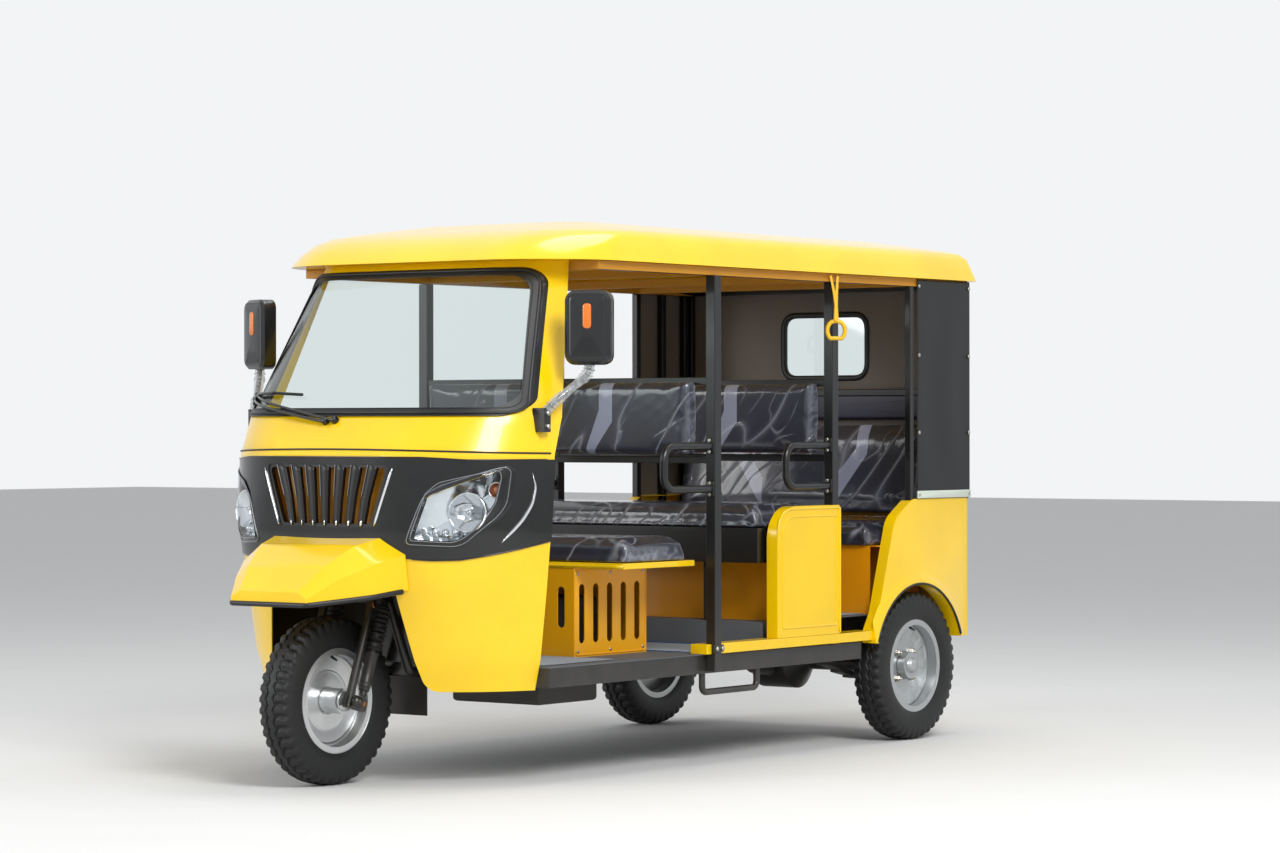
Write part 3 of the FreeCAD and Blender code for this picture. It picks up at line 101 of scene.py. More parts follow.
def new_mesh(name, points, faces, smooth=True, closed=True):
    """An object from points in millimetres; doubles merge, and a closed form's faces turn out."""
    mesh = bpy.data.meshes.new(name)
    points = spot(np.asarray(points, float).reshape(-1, 3))
    faces = np.asarray(faces, int)
    mesh.vertices.add(len(points))
    mesh.vertices.foreach_set("co", points.astype(np.float32).ravel())
    mesh.loops.add(faces.size)
    mesh.loops.foreach_set("vertex_index", faces.astype(np.int32).ravel())
    mesh.polygons.add(len(faces))
    mesh.polygons.foreach_set("loop_start", np.arange(0, faces.size, faces.shape[1], dtype=np.int32))
    mesh.update(calc_edges=True)
    work = bmesh.new()
    work.from_mesh(mesh)
    bmesh.ops.remove_doubles(work, verts=work.verts, dist=2e-6)
    bmesh.ops.dissolve_degenerate(work, edges=work.edges, dist=1e-6)
    if closed:
        bmesh.ops.recalc_face_normals(work, faces=work.faces)
    work.to_mesh(mesh)
    work.free()
    mesh.polygons.foreach_set("use_smooth", np.full(len(mesh.polygons), smooth))
    made = bpy.data.objects.new(name, mesh)
    bpy.context.scene.collection.objects.link(made)
    return made


# %% [markdown]
# A turned form needs only its profile: each (along, out) pair becomes a ring about the axis. Many turned
# forms of one kind, such as nuts, are the same rings set at several centres in one mesh.

# %% Turned forms
def ring_points(profile, segments, axis):
    """point = along * axis + out * (cos t * side + sin t * up), for every profile pair and every angle t."""
    profile = np.asarray(profile, float)
    axis = np.asarray(axis, float) / np.linalg.norm(axis)
    side = np.cross(axis, (0, 0, 1) if abs(axis[2]) < 0.9 else (0, 1, 0))
    side /= np.linalg.norm(side)
    up = np.cross(side, axis)
    angle = np.linspace(0, 2 * np.pi, segments, endpoint=False)
    circle = np.cos(angle)[:, None] * side + np.sin(angle)[:, None] * up
    return profile[:, 0, None, None] * axis + profile[:, 1, None, None] * circle


def equal_grids(name, points, wrap_rows=False, smooth=True):
    """Several grids in one mesh: points by copy, row and column, with every row closed to a ring."""
    copies, rows, columns = points.shape[:3]
    faces = grid_faces(rows, columns, wrap_rows, True)
    every = faces[None] + (np.arange(copies) * rows * columns)[:, None, None]
    return new_mesh(name, points, every.reshape(-1, 4), smooth)


def turned(name, profile, segments, centres, axis=(1, 0, 0), closed=False, smooth=True):
    """A profile turned about an axis through each centre; a closed profile makes a ring."""
    centres = np.asarray(centres, float).reshape(-1, 1, 1, 3)
    return equal_grids(name, ring_points(profile, segments, axis)[None] + centres, closed, smooth)


def hex_heads(name, head, centres, axis):
    """Bolt heads; head gives the radius, the height of the edge, the full height and the radius on top."""
    radius, edge, height, top = head
    profile = [(0, 0), (0, radius), (edge, radius), (height, top), (height, 0)]
    return turned(name, profile, 6, centres, axis, smooth=False)


def round_heads(name, side, radius, height, centres):
    """Low round heads, such as screws and snaps, on the left or right side of the vehicle."""
    profile = [(0, 0), (0, radius), (height * 0.6, radius), (height * 0.9, radius * 0.8), (height, 0)]
    return turned(name, profile, 24, centres, (side, 0, 0))


# %% [markdown]
# Tubes, beads and cords are one circle carried along a path. Corners of a path are rounded with quadratic
# curves, and at every point the circle's two directions come from the path's tangent and one reference.

# %% Forms along a path
def corner_curves(start, corners, end, steps):
    """(1-t)^2 A + 2t(1-t) P + t^2 B for every corner P between its A and B, as one run of points."""
    t = np.linspace(0, 1, steps)[None, :, None]
    curves = (1 - t) ** 2 * start[:, None] + 2 * t * (1 - t) * corners[:, None] + t ** 2 * end[:, None]
    return curves.reshape(-1, corners.shape[1])


def rounded(points, reach, steps=7):
    """An open path whose corners become curves that begin and end one reach away from them."""
    points = np.asarray(points, float)
    corners = points[1:-1]
    before, after = points[:-2] - corners, points[2:] - corners
    start = corners + before / np.linalg.norm(before, axis=1, keepdims=True) * reach
    end = corners + after / np.linalg.norm(after, axis=1, keepdims=True) * reach
    return np.concatenate([points[:1], corner_curves(start, corners, end, steps), points[-1:]])


def tube(name, path, radius, sides=12, flat=1.0, reference=(0.13, 0.21, 0.97), loop=False):
    """A circle of one radius, or a radius for each point, carried along a path; flat squeezes it one way."""
    path = np.asarray(path, float)
    if loop:
        tangent = np.roll(path, -1, 0) - np.roll(path, 1, 0)
    else:
        tangent = np.gradient(path, axis=0)
    tangent /= np.linalg.norm(tangent, axis=1, keepdims=True)
    side = np.cross(tangent, reference)
    side /= np.linalg.norm(side, axis=1, keepdims=True)
    up = np.cross(side, tangent)
    size = np.broadcast_to(np.asarray(radius, float), (len(path),)).copy()
    if not loop:
        path = np.concatenate([path[:1], path, path[-1:]])
        side, up = np.concatenate([side[:1], side, side[-1:]]), np.concatenate([up[:1], up, up[-1:]])
        size = np.concatenate([[0.0], size, [0.0]])
    angle = np.linspace(0, 2 * np.pi, sides, endpoint=False)[None, :, None]
    size = size[:, None, None]
    points = path[:, None] + size * (np.cos(angle) * side[:, None] + flat * np.sin(angle) * up[:, None])
    return new_mesh(name, points, grid_faces(len(path), sides, loop, True))


# %% [markdown]
# A plate, lens or pad has an outline and a rim. Its rows are copies of the outline, each moved inwards along
# the outline's own normals by an inset and raised by a level. The last row closes at the outline's middle.

# %% Forms from an outline
def dense(corners, reach, steps, spacing):
    """A closed outline of points at most one spacing apart, with its corners rounded by quadratic curves."""
    corners = np.asarray(corners, float)
    largest_share = 0.49
    before, after = np.roll(corners, 1, 0) - corners, np.roll(corners, -1, 0) - corners
    room_before = np.linalg.norm(before, axis=1)[:, None]
    room_after = np.linalg.norm(after, axis=1)[:, None]
    pull = np.broadcast_to(np.asarray(reach, float).reshape(-1, 1), (len(corners), 1))
    start = corners + before / room_before * np.minimum(pull, room_before * largest_share)
    end = corners + after / room_after * np.minimum(pull, room_after * largest_share)
    corners = corner_curves(start, corners, end, steps)
    gaps = np.linalg.norm(np.roll(corners, -1, 0) - corners, axis=1)
    parts = np.maximum(np.ceil(gaps / spacing).astype(int), 1)
    index = np.repeat(np.arange(len(corners)), parts)
    share = np.concatenate([np.arange(count) / count for count in parts])[:, None]
    return corners[index] * (1 - share) + corners[(index + 1) % len(corners)] * share


def box_outline(low, high, bottom, top, reach, steps, spacing):
    """A rectangle with rounded corners."""
    return dense([(low, bottom), (high, bottom), (high, top), (low, top)], reach, steps, spacing)


def drawn_in(outline, inset):
    """Each point moved inwards by the inset, along the mean of its two edges' normals."""
    following = np.roll(outline, -1, 0)
    run = following - np.roll(outline, 1, 0)
    run /= np.maximum(np.linalg.norm(run, axis=1, keepdims=True), 1e-9)
    turn = np.sign(np.sum(outline[:, 0] * following[:, 1] - following[:, 0] * outline[:, 1]))
    return outline + turn * inset * np.stack([-run[:, 1], run[:, 0]], 1)


def plate(name, outline, rows, lay, closed=True):
    """Rows of (inset, level), laid on a surface by lay(across, up, level); an inset of None is the middle."""
    middle = outline.mean(0)
    made = []
    for inset, level in rows:
        flat = np.broadcast_to(middle, outline.shape) if inset is None else drawn_in(outline, inset)
        made.append(lay(flat[:, 0], flat[:, 1], level))
    return new_mesh(name, np.stack(made), grid_faces(len(rows), len(outline), False, True), closed=closed)


def facing(direction, base):
    """A lay function for a flat plate: its two outline axes and its level axis by the side it faces."""
    ways = {
        "front": lambda a, b, level: (a, base - level, b),
        "rear": lambda a, b, level: (a, base + level, b),
        "left": lambda a, b, level: (base + level, a, b),
        "right": lambda a, b, level: (-base - level, a, b),
        "up": lambda a, b, level: (a, b, base + level),
    }
    return lambda a, b, level: np.stack(np.broadcast_arrays(*ways[direction](a, b, level)), -1)


def at_x(x, outline):
    """An outline of (y, z) pairs as places at one x."""
    return np.stack([np.full(len(outline), x), outline[:, 0], outline[:, 1]], 1)


def at_y(y, outline):
    """An outline of (x, z) pairs as places at one y."""
    return np.stack([outline[:, 0], np.full(len(outline), y), outline[:, 1]], 1)


def thicken(piece, thickness_mm, offset):
    """A Solidify modifier: outwards at offset 1, inwards at -1, and half each way at 0."""
    wall = piece.modifiers.new("thickness", "SOLIDIFY")
    wall.thickness = thickness_mm * MM
    wall.offset = offset
    return wall


# %% [markdown]
# ## The nose as a formula
# The cab's wall is drawn from plan sections: a bowed front line, and a corner that is one arc cut off at the
# rear edge. Between two heights the numbers change evenly. With them, any trim can lie on the wall.

# %% The cab's wall
CAB_TABLE = np.array([
    # height, nose set back, half width, corner radius, rear edge
    (299, 70, 548, 440, 372), (400, 44, 574, 455, 368), (620, 14, 602, 475, 364), (800, 2, 618, 460, 366),
    (1045, 0, 622, 466, 380), (1165, 88, 612, 372, 430), (1667.7, 444, 506, 222, 604)], float)
NOSE_BOW = 10.0


def nose_y(x, z, out=0.0):
    """Front: y = back - out - bow (1 - (x/c)^2); corner: y = m - sqrt((R + out)^2 - (|x| - c)^2)."""
    back, half, radius, rear = (np.interp(z, CAB_TABLE[:, 0], CAB_TABLE[:, i]) for i in (1, 2, 3, 4))
    middle_y = back + radius
    corner = half - np.sqrt(np.maximum(radius ** 2 - (middle_y - rear) ** 2, 0))
    front = back - out - NOSE_BOW * (1 - (x / corner) ** 2)
    along = np.clip(np.abs(x) - corner, 0, radius + out)
    side = middle_y - np.sqrt((radius + out) ** 2 - along ** 2)
    return np.where(np.abs(x) <= corner, front, side)


def on_nose(x, z, out=0.0):
    """Points on the cab's wall, moved outwards by a distance; it also serves as a plate's lay function."""
    x, z = np.broadcast_arrays(np.asarray(x, float), np.asarray(z, float))
    return np.stack([x, nose_y(x, z, out), z], -1)


# %% [markdown]
# ## Colours and finishes
# Paint charts give colours as sRGB hex values, while the shader wants linear light, so one function turns
# each. Each finish below is a small tree of nodes; one function adds a node, its settings and its links.

# %% Colour and node helpers
def linear(code):
    """An sRGB hex colour as linear light: the sRGB curve undone for each channel."""
    values = [int(code[i:i + 2], 16) / 255 for i in (1, 3, 5)]
    return tuple(v / 12.92 if v <= 0.04045 else ((v + 0.055) / 1.055) ** 2.4 for v in values) + (1.0,)


def add(tree, kind, links=None, **settings):
    """Adds one node: settings by name, and sockets by name or number, each from a value or another socket."""
    made = tree.nodes.new(kind)
    for key, value in settings.items():
        setattr(made, key, value)
    for key, value in (links or {}).items():
        socket = made.inputs[key]
        if isinstance(value, bpy.types.NodeSocket):
            tree.links.new(value, socket)
        else:
            socket.default_value = value
    return made


def maths(tree, operation, *values):
    """The result of one Math node."""
    return add(tree, "ShaderNodeMath", dict(enumerate(values)), operation=operation).outputs[0]


def blend(tree, share, first, second):
    """The first colour with a share of the second mixed in."""
    colours = {"Factor": share, "A": first, "B": second}
    return add(tree, "ShaderNodeMix", colours, data_type="RGBA").outputs["Result"]


def shader_mix(tree, share, first, second):
    """The first shader with a share of the second mixed in."""
    return add(tree, "ShaderNodeMixShader", {"Fac": share, 1: first, 2: second}).outputs[0]


def rescaled(tree, value, low, high, start=0.0, end=1.0):
    """A value between low and high, moved to between start and end."""
    limits = {"Value": value, "From Min": low, "From Max": high, "To Min": start, "To Max": end}
    return add(tree, "ShaderNodeMapRange", limits).outputs["Result"]


def noise(tree, place, scale, detail, distortion=0.0):
    """The value of one noise texture."""
    levels = {"Vector": place, "Scale": scale, "Detail": detail, "Distortion": distortion}
    return add(tree, "ShaderNodeTexNoise", levels).outputs["Fac"]


def bumped(tree, height, distance, strength):
    """The normal of a surface whose height changes by up to the distance."""
    relief = {"Height": height, "Distance": distance, "Strength": strength}
    return add(tree, "ShaderNodeBump", relief).outputs["Normal"]


def finish_tree(name):
    """A new material, its empty tree, and the piece's own coordinates in metres."""
    made = bpy.data.materials.new(name)
    made.use_nodes = True
    tree = made.node_tree
    tree.nodes.clear()
    return made, tree, add(tree, "ShaderNodeTexCoord").outputs["Object"]


# %% [markdown]
# ### Coated surfaces
# Gel coat, enamel and moulded plastic look alike from far away. Close up they differ by their grain: gel
# coat ripples like orange peel, enamel is finer, and plastic has a cast texture. One recipe with a grain
# size, a colour drift and a roughness drift covers all three, and rubber and bare metal as well. The drift
# keeps a large panel from looking like one flat colour, and the grain breaks up its highlights.

# %% A coated surface
# Scale and detail of the noise that shades a large panel, and of the patches in which dust lies
PANEL_NOISE, DUST_NOISE = (3.1, 3.0), (14.0, 5.0)
# Dust has this share at the low height and none at the high one, in metres
DUST_LOW, DUST_HIGH, DUST_SHARE = 0.05, 0.65, 0.45


def coated(name, code, roughness, grain_mm, bump_mm, drift=0.03, metallic=0.0, coat=0.0, dust=None):
    """Base colour mixed with its shade by large noise, a bump at the grain's size, and dust low down."""
    made, tree, place = finish_tree(name)
    base = linear(code)
    shade = tuple(c * (1 - drift * 4) for c in base[:3]) + (1.0,)
    colour = blend(tree, rescaled(tree, noise(tree, place, *PANEL_NOISE), 0.35, 0.75), base, shade)
    if dust:
        height = add(tree, "ShaderNodeSeparateXYZ", {0: place}).outputs["Z"]
        low_down = rescaled(tree, height, DUST_LOW, DUST_HIGH, DUST_SHARE, 0.0)
        amount = maths(tree, "MULTIPLY", low_down, noise(tree, place, *DUST_NOISE))
        colour = blend(tree, amount, colour, linear(dust))
    grain = noise(tree, place, 1 / (grain_mm * MM), 2.0)
    shader = add(tree, "ShaderNodeBsdfPrincipled", {
        "Base Color": colour,
        "Roughness": rescaled(tree, grain, 0.0, 1.0, roughness * 0.8, roughness * 1.25),
        "Normal": bumped(tree, grain, bump_mm * MM, 0.6),
        "Metallic": metallic, "Coat Weight": coat, "Coat Roughness": 0.06})
    add(tree, "ShaderNodeOutputMaterial", {"Surface": shader.outputs[0]})
    return made


# %% [markdown]
# ### Clear plastic and glass
# A thin clear wall shows what is behind it and mirrors the sky more at a flat angle. A see-through shader
# mixed with a glossy one by how flat the view is does both, and doesn't bend the light, as a thin wall hardly
# does. Fresnel's own node isn't used, because seen from inside a wall it mirrors everything.

# %% Clear walls
def clear_wall(name, tint, strength=0.6, milky=0.0):
    """Clear and glossy mixed by 0.03 + strength * facing^4, alike from both sides; milky adds white."""
    made, tree, place = finish_tree(name)
    surface = add(tree, "ShaderNodeBsdfTransparent", {"Color": linear(tint)}).outputs[0]
    if milky:
        share = maths(tree, "MULTIPLY", noise(tree, place, 60.0, 4.0, 1.2), milky * 2)
        white = add(tree, "ShaderNodeBsdfDiffuse", {"Color": linear("#e6e8ea")}).outputs[0]
        surface = shader_mix(tree, share, surface, white)
    flatness = add(tree, "ShaderNodeLayerWeight", {"Blend": 0.5}).outputs["Facing"]
    mirrored = maths(tree, "MULTIPLY_ADD", maths(tree, "POWER", flatness, 4.0), strength, 0.03)
    gloss = add(tree, "ShaderNodeBsdfGlossy", {"Color": (1, 1, 1, 1), "Roughness": 0.03}).outputs[0]
    add(tree, "ShaderNodeOutputMaterial", {"Surface": shader_mix(tree, mirrored, surface, gloss)})
    return made


# %% [markdown]
# ### Seat vinyl
# The seats are dark blue vinyl, still under the clear film they came in. The film pulls into fine creases
# that catch the light. A noise stretched along a diagonal, folded at its middle value and raised to a high
# power, leaves thin lines like them; they bump the coat, and pale grey mixed into the colour along them is a
# painted highlight. Each seat back has a pale band near each end, upright at the top and bent inwards lower
# down: the band is where |x| lies between two edges that change with height.

# %% Vinyl under film
# The film is bunched from here outwards: distance from the vehicle's middle, and over how much it sets in
BUNCHED_FROM, BUNCHED_OVER = 0.55, 0.025
# Turn of the axis, spread along each axis in metres, and how thin the lines are: bumps and painted highlights
LONG_CREASES = ((0.0, -0.9, 0.35), (1.2, 0.16, 0.13), 60.0)
SHORT_CREASES = ((0.5, -0.6, -0.5), (0.35, 0.09, 0.07), 40.0)
BUNCHED_FILM = ((0.3, 0.2, 0.0), (0.02, 0.05, 0.03), 4.0)


def crease_lines(tree, place, turn, spread, thin):
    """(1 - |2 n - 1|)^thin of a noise n drawn out along one turned axis: thin lines at its middle value."""
    drawn_out = add(tree, "ShaderNodeMapping", {"Vector": place, "Rotation": turn, "Scale": spread},
                    vector_type="TEXTURE").outputs[0]
    fold = maths(tree, "MULTIPLY_ADD", noise(tree, drawn_out, 1.0, 0.6), 2.0, -1.0)
    return maths(tree, "POWER", maths(tree, "SUBTRACT", 1.0, maths(tree, "ABSOLUTE", fold)), thin)


def seat_vinyl(name, band=None, painted_highlight_share=0.28):
    """Dark vinyl, a pale band between two edges of |x|, and film creases as bumps and painted highlights."""
    made, tree, place = finish_tree(name)
    parts = add(tree, "ShaderNodeSeparateXYZ", {0: place}).outputs
    across = maths(tree, "ABSOLUTE", parts["X"])
    colour = blend(tree, noise(tree, place, 5.0, 4.0), linear("#171a26"), linear("#2c2f40"))
    if band:
        inner, outer = [rescaled(tree, parts["Z"], *edge) for edge in band]
        inside = maths(tree, "MULTIPLY", maths(tree, "GREATER_THAN", across, inner),
                       maths(tree, "LESS_THAN", across, outer))
        colour = blend(tree, inside, colour, linear("#8a8fa6"))
    long_creases = crease_lines(tree, place, *LONG_CREASES)
    short_creases = crease_lines(tree, place, *SHORT_CREASES)
    patches = rescaled(tree, noise(tree, place, 6.0, 2.0), 0.5, 0.66)
    bunched = crease_lines(tree, place, *BUNCHED_FILM)
    near_end = rescaled(tree, across, BUNCHED_FROM, BUNCHED_FROM + BUNCHED_OVER)
    lines = maths(tree, "MAXIMUM", long_creases, maths(tree, "MULTIPLY", short_creases, patches))
    lines = maths(tree, "MAXIMUM", lines, maths(tree, "MULTIPLY", bunched, near_end))
    # Pale grey mixed into the colour along the crease lines is a painted highlight of the film's creases
    colour = blend(tree, maths(tree, "MULTIPLY", lines, painted_highlight_share), colour, linear("#c9cede"))
    grain = add(tree, "ShaderNodeTexVoronoi", {"Vector": place, "Scale": 420.0}).outputs["Distance"]
    shader = add(tree, "ShaderNodeBsdfPrincipled", {
        "Base Color": colour, "Roughness": 0.45, "Normal": bumped(tree, grain, 0.0004, 0.5),
        "Coat Weight": 0.8, "Coat Roughness": 0.12, "Coat Normal": bumped(tree, lines, 0.003, 0.6)})
    add(tree, "ShaderNodeOutputMaterial", {"Surface": shader.outputs[0]})
    return made


# %% All finishes by material slot
YELLOW, DUST = "#fdd000", "#6b665c"
finishes = {
    "frame_black": coated("stoved_black_enamel", "#0c0d0f", 0.34, 0.9, 0.03, coat=0.15, dust=DUST),
    "floor_grey": coated("grey_floor_rubber", "#5d6166", 0.7, 2.0, 0.2),
    "body_yellow": coated("yellow_gel_coat", YELLOW, 0.24, 7.0, 0.04, coat=0.4),
    "panel_yellow": coated("yellow_enamel", YELLOW, 0.24, 4.0, 0.05, coat=0.4),
    "mask_black": coated("black_gloss_plastic", "#0b0c0d", 0.22, 6.0, 0.03, coat=0.25),
    "grille_black": coated("black_grille_plastic", "#0c0d0e", 0.36, 1.5, 0.05),
    "lamp_clear": clear_wall("clear_lamp_plastic", "#f3f6f8"),
    "lamp_red": coated("red_lamp_plastic", "#a3120d", 0.15, 4.0, 0.01, coat=0.6),
    "window_glass": clear_wall("tempered_glass", "#eff4f3", 0.5),
    "seal_rubber": coated("black_seal_rubber", "#101113", 0.42, 1.2, 0.05),
    "flap_rubber": coated("black_flap_rubber", "#161616", 0.7, 2.5, 0.1, dust=DUST),
    "roof_yellow": coated("yellow_roof_gel_coat", YELLOW, 0.2, 7.0, 0.05, coat=0.5),
    "wall_vinyl": coated("grey_lining_vinyl", "#7a726c", 0.6, 1.5, 0.15),
    "curtain_black": coated("black_coated_canvas", "#0d0e10", 0.42, 1.0, 0.06),
    "cover_grey": coated("yellow_cover_enamel", "#f0aa0a", 0.3, 4.0, 0.05, coat=0.2),
    "engine_iron": coated("cast_iron", "#4b4a48", 0.7, 3.0, 0.3, dust=DUST),
    # The film's creases are painted in as pale highlight lines, at this share
    "seat_vinyl": seat_vinyl("dark_blue_vinyl_under_film", painted_highlight_share=0.45),
    # Yellow enamel darkened to orange as painted shade, for the seat base panels
    "seat_orange": coated("painted_shade_yellow_enamel", "#e99a0c", 0.3, 4.0, 0.05, coat=0.2),
    "mirror_black": coated("black_moulded_plastic", "#0d0e10", 0.28, 1.2, 0.04, coat=0.3),
    "strap_orange": coated("yellow_moulded_ring", "#f4c21a", 0.35, 1.5, 0.05),
    "spring_steel": coated("black_spring_steel", "#1a1a1b", 0.4, 1.5, 0.05, dust=DUST),
    "wheel_steel": coated("silver_wheel_enamel", "#b9bcbd", 0.32, 2.0, 0.04, metallic=0.75),
    "wheel_alloy": coated("polished_wheel_steel", "#d5d7d8", 0.3, 3.0, 0.04, metallic=0.9),
    "tyre_rubber": coated("black_tyre_rubber", "#0c0d0e", 0.55, 1.6, 0.15),
}
extras = {
    "chrome": coated("bright_chrome", "#e4e6e8", 0.08, 4.0, 0.01, metallic=1.0),
    "bolt_zinc": coated("zinc_plated_bolt", "#b8b6ac", 0.3, 0.8, 0.02, metallic=1.0),
    "copper_bolt": coated("copper_coloured_bolt", "#b4713c", 0.28, 0.8, 0.02, metallic=1.0),
    "amber": coated("amber_lamp_plastic", "#e8780c", 0.15, 3.0, 0.01, coat=0.7),
    "bulb_orange": coated("orange_bulb_glass", "#c8641a", 0.12, 3.0, 0.01, coat=0.8),
    "lamp_bowl": coated("chromed_lamp_bowl", "#dfe3e6", 0.16, 6.0, 0.4, metallic=1.0),
    # Grey lines laid on black trims as painted highlights of their edges
    "painted_highlight_grey": coated("painted_highlight_grey_line", "#85898d", 0.3, 2.0, 0.02, metallic=0.4),
    "mirror_face": coated("silvered_mirror", "#e8ecee", 0.03, 4.0, 0.0, metallic=1.0),
    "wrap": clear_wall("bubble_wrap_film", "#eef1f2", 0.5, 0.3),
    "mat": coated("grey_floor_mat", "#8b9096", 0.75, 3.0, 0.6, drift=0.06),
    "film_blue": coated("blue_film_edge", "#3f74b8", 0.35, 2.0, 0.05),
    "pale_strip": coated("pale_edge_strip", "#d3dcd0", 0.4, 2.0, 0.04),
    "silver_strip": coated("silver_trim", "#c4c7ca", 0.25, 2.0, 0.02, metallic=0.9),
    "grip": coated("soft_black_grip", "#141414", 0.65, 1.0, 0.08),
    "ring_orange": coated("orange_moulded_ring", "#d9661a", 0.35, 1.5, 0.05),
    "back_vinyl": seat_vinyl("banded_vinyl_under_film",
                             ((1.06, 1.19, 0.145, 0.20), (1.04, 1.15, 0.17, 0.256))),
    "rear_back_vinyl": seat_vinyl("rear_banded_vinyl", ((0.94, 1.05, 0.16, 0.25), (0.85, 1.03, 0.175, 0.30))),
    "board_vinyl": coated("dark_blue_board_vinyl", "#33344a", 0.4, 1.6, 0.12),
    # Yellow darkened to orange-brown as painted shade, for the tray behind the grille
    "painted_shade_panel": coated("shaded_yellow_panel", "#c98708", 0.5, 4.0, 0.05),
    # Yellow darkened to brown as painted shade, for the frame under the roof
    "painted_shade_bow": coated("shaded_roof_bow", "#c08412", 0.5, 2.0, 0.05),
}
print("finishes:", len(finishes) + len(extras))


def dress(piece, slot, finish=None, body="root"):
    """Gives a piece the finish named, or else its slot's finish, and the body it rides on."""
    piece.data.materials.clear()
    piece.data.materials.append(extras[finish] if finish else finishes[slot])
    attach(piece, body)
    return piece


# %% [markdown]
# ## Smooth shading for the CAD pieces
# A CAD node arrives as loose triangles. A short Geometry Nodes modifier merges its corners and shades it
# smooth except over sharp edges, and a Bevel modifier gives those edges the small round of sheet and tube.

# %% Shading modifier
def soft_shading():
    """Node group: merge by distance, shade faces smooth, keep edges over the sharp turn sharp."""
    group = bpy.data.node_groups.new("merge_and_shade", "GeometryNodeTree")
    group.interface.new_socket("Geometry", in_out="INPUT", socket_type="NodeSocketGeometry")
    group.interface.new_socket("Geometry", in_out="OUTPUT", socket_type="NodeSocketGeometry")
    start = add(group, "NodeGroupInput")
    merged = add(group, "GeometryNodeMergeByDistance", {"Geometry": start.outputs[0], "Distance": 0.02 * MM})
    smooth = add(group, "GeometryNodeSetShadeSmooth", {"Geometry": merged.outputs[0], "Shade Smooth": True},
                 domain="FACE")
    angle = add(group, "GeometryNodeInputMeshEdgeAngle")
    sharp = add(group, "FunctionNodeCompare", {0: angle.outputs[0], 1: SHARP_TURN}, operation="GREATER_THAN")
    edges = add(group, "GeometryNodeSetShadeSmooth", {
        "Geometry": smooth.outputs[0], "Selection": sharp.outputs[0], "Shade Smooth": False}, domain="EDGE")
    add(group, "NodeGroupOutput", {0: edges.outputs[0]})
    return group


shading = soft_shading()
BEVEL_MM = {"frame_rails": 3, "cross_members": 3, "posts": 3, "roof_frame": 2.5, "sills": 3, "seat_frames": 3,
            "seat_back_bars": 2, "engine_block": 12, "rear_wall": 2, "front_fender": 5}


def round_edges(piece, width_mm):
    """A Bevel modifier on the sharp edges."""
    bevel = piece.modifiers.new("rounded edges", "BEVEL")
    bevel.width = width_mm * MM
    bevel.segments = 2
    bevel.limit_method = "ANGLE"
    bevel.angle_limit = SHARP_TURN
    bevel.harden_normals = True


for name, node in nodes.items():
    modifier = node.modifiers.new("merge and shade", "NODES")
    modifier.node_group = shading
    if name in BEVEL_MM:
        round_edges(node, BEVEL_MM[name])

for row in frame["record"]["subparts"]:
    node = nodes[row["node"]]
    node.data.materials.clear()
    node.data.materials.append(finishes[row["material_slot"]])

# %% [markdown]
# ## Tyres
# The tyre's section runs from one bead over the side wall, shoulder and tread to the other. Two zigzag
# grooves and slots across the shoulders cut the tread, as a dip in the radius by place and angle.

# %% Tread and side walls
TREAD_BLOCKS, TREAD_HALF = 44, 50
CROWN_RADIUS, CROWN_DROP = 267, 7.5
GROOVE_PLACE, ZIGZAG, GROOVE_DEPTH = 15, 4.5, 8.5
# Across and out, from the bead to the shoulder
SIDE_WALL = np.array([(34, 152.2), (40, 156), (46, 165), (52, 177), (56, 191), (56.5, 205), (57.2, 220),
                      (55.5, 236), (52.5, 249)])


def smooth_step(value, low, high):
    """0 below low, 1 above high, and 3t^2 - 2t^3 between."""
    t = np.clip((value - low) / (high - low), 0, 1)
    return t * t * (3 - 2 * t)


def about_axle(along, out, angle):
    """(along, out sin t, out cos t) for every row and every angle t."""
    along, out = np.broadcast_arrays(along, out + 0 * angle)
    return np.stack([along, out * np.sin(angle), out * np.cos(angle)], -1)


def tyre(name, centre, body):
    """out = section - depth * dip; dip is 1 where |a - zigzag(angle)| is small, and in the shoulder slots."""
    across = np.linspace(TREAD_HALF, -TREAD_HALF, 59)
    crown = np.stack([across, CROWN_RADIUS - CROWN_DROP * (np.abs(across) / TREAD_HALF) ** 3.2], 1)
    section = np.concatenate([SIDE_WALL, crown, (SIDE_WALL * (-1, 1))[::-1]])
    columns = TREAD_BLOCKS * 8
    angle = np.linspace(0, 2 * np.pi, columns, endpoint=False)
    a, out = section[:, :1], section[:, 1:]
    phase = (angle[None] * TREAD_BLOCKS / (2 * np.pi)) % 1
    zigzag = ZIGZAG * (np.abs(phase * 2 - 1) * 2 - 1)
    beside = np.minimum(np.abs(a - GROOVE_PLACE - zigzag), np.abs(a + GROOVE_PLACE - zigzag))
    groove = 1 - smooth_step(beside, 2.2, 4.2)
    slot_phase = np.abs(((phase + np.sign(a) * 0.25 + 0.004 * a) % 1) - 0.5)
    slot = smooth_step(np.abs(a), 21, 25) * (1 - smooth_step(slot_phase, 0.15, 0.26))
    dip = np.maximum(groove, slot) * smooth_step(out, 228, 250)
    points = about_axle(a, out - GROOVE_DEPTH * dip, angle) + centre
    piece = new_mesh(name, points, grid_faces(len(section), columns, True, True))
    dress(piece, "tyre_rubber", body=body)
    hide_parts(name.replace("_with_tread", ""))
    print(name, len(piece.data.polygons), "faces")


WHEELS = (("front", (0, 0, AXLE_Z), "front_wheel", 1), ("left", (WHEEL_X, REAR_Y, AXLE_Z), "left_wheel", 1),
          ("right", (-WHEEL_X, REAR_Y, AXLE_Z), "right_wheel", -1))
for prefix, centre, body, way in WHEELS:
    tyre(prefix + "_tyre_with_tread", centre, body)

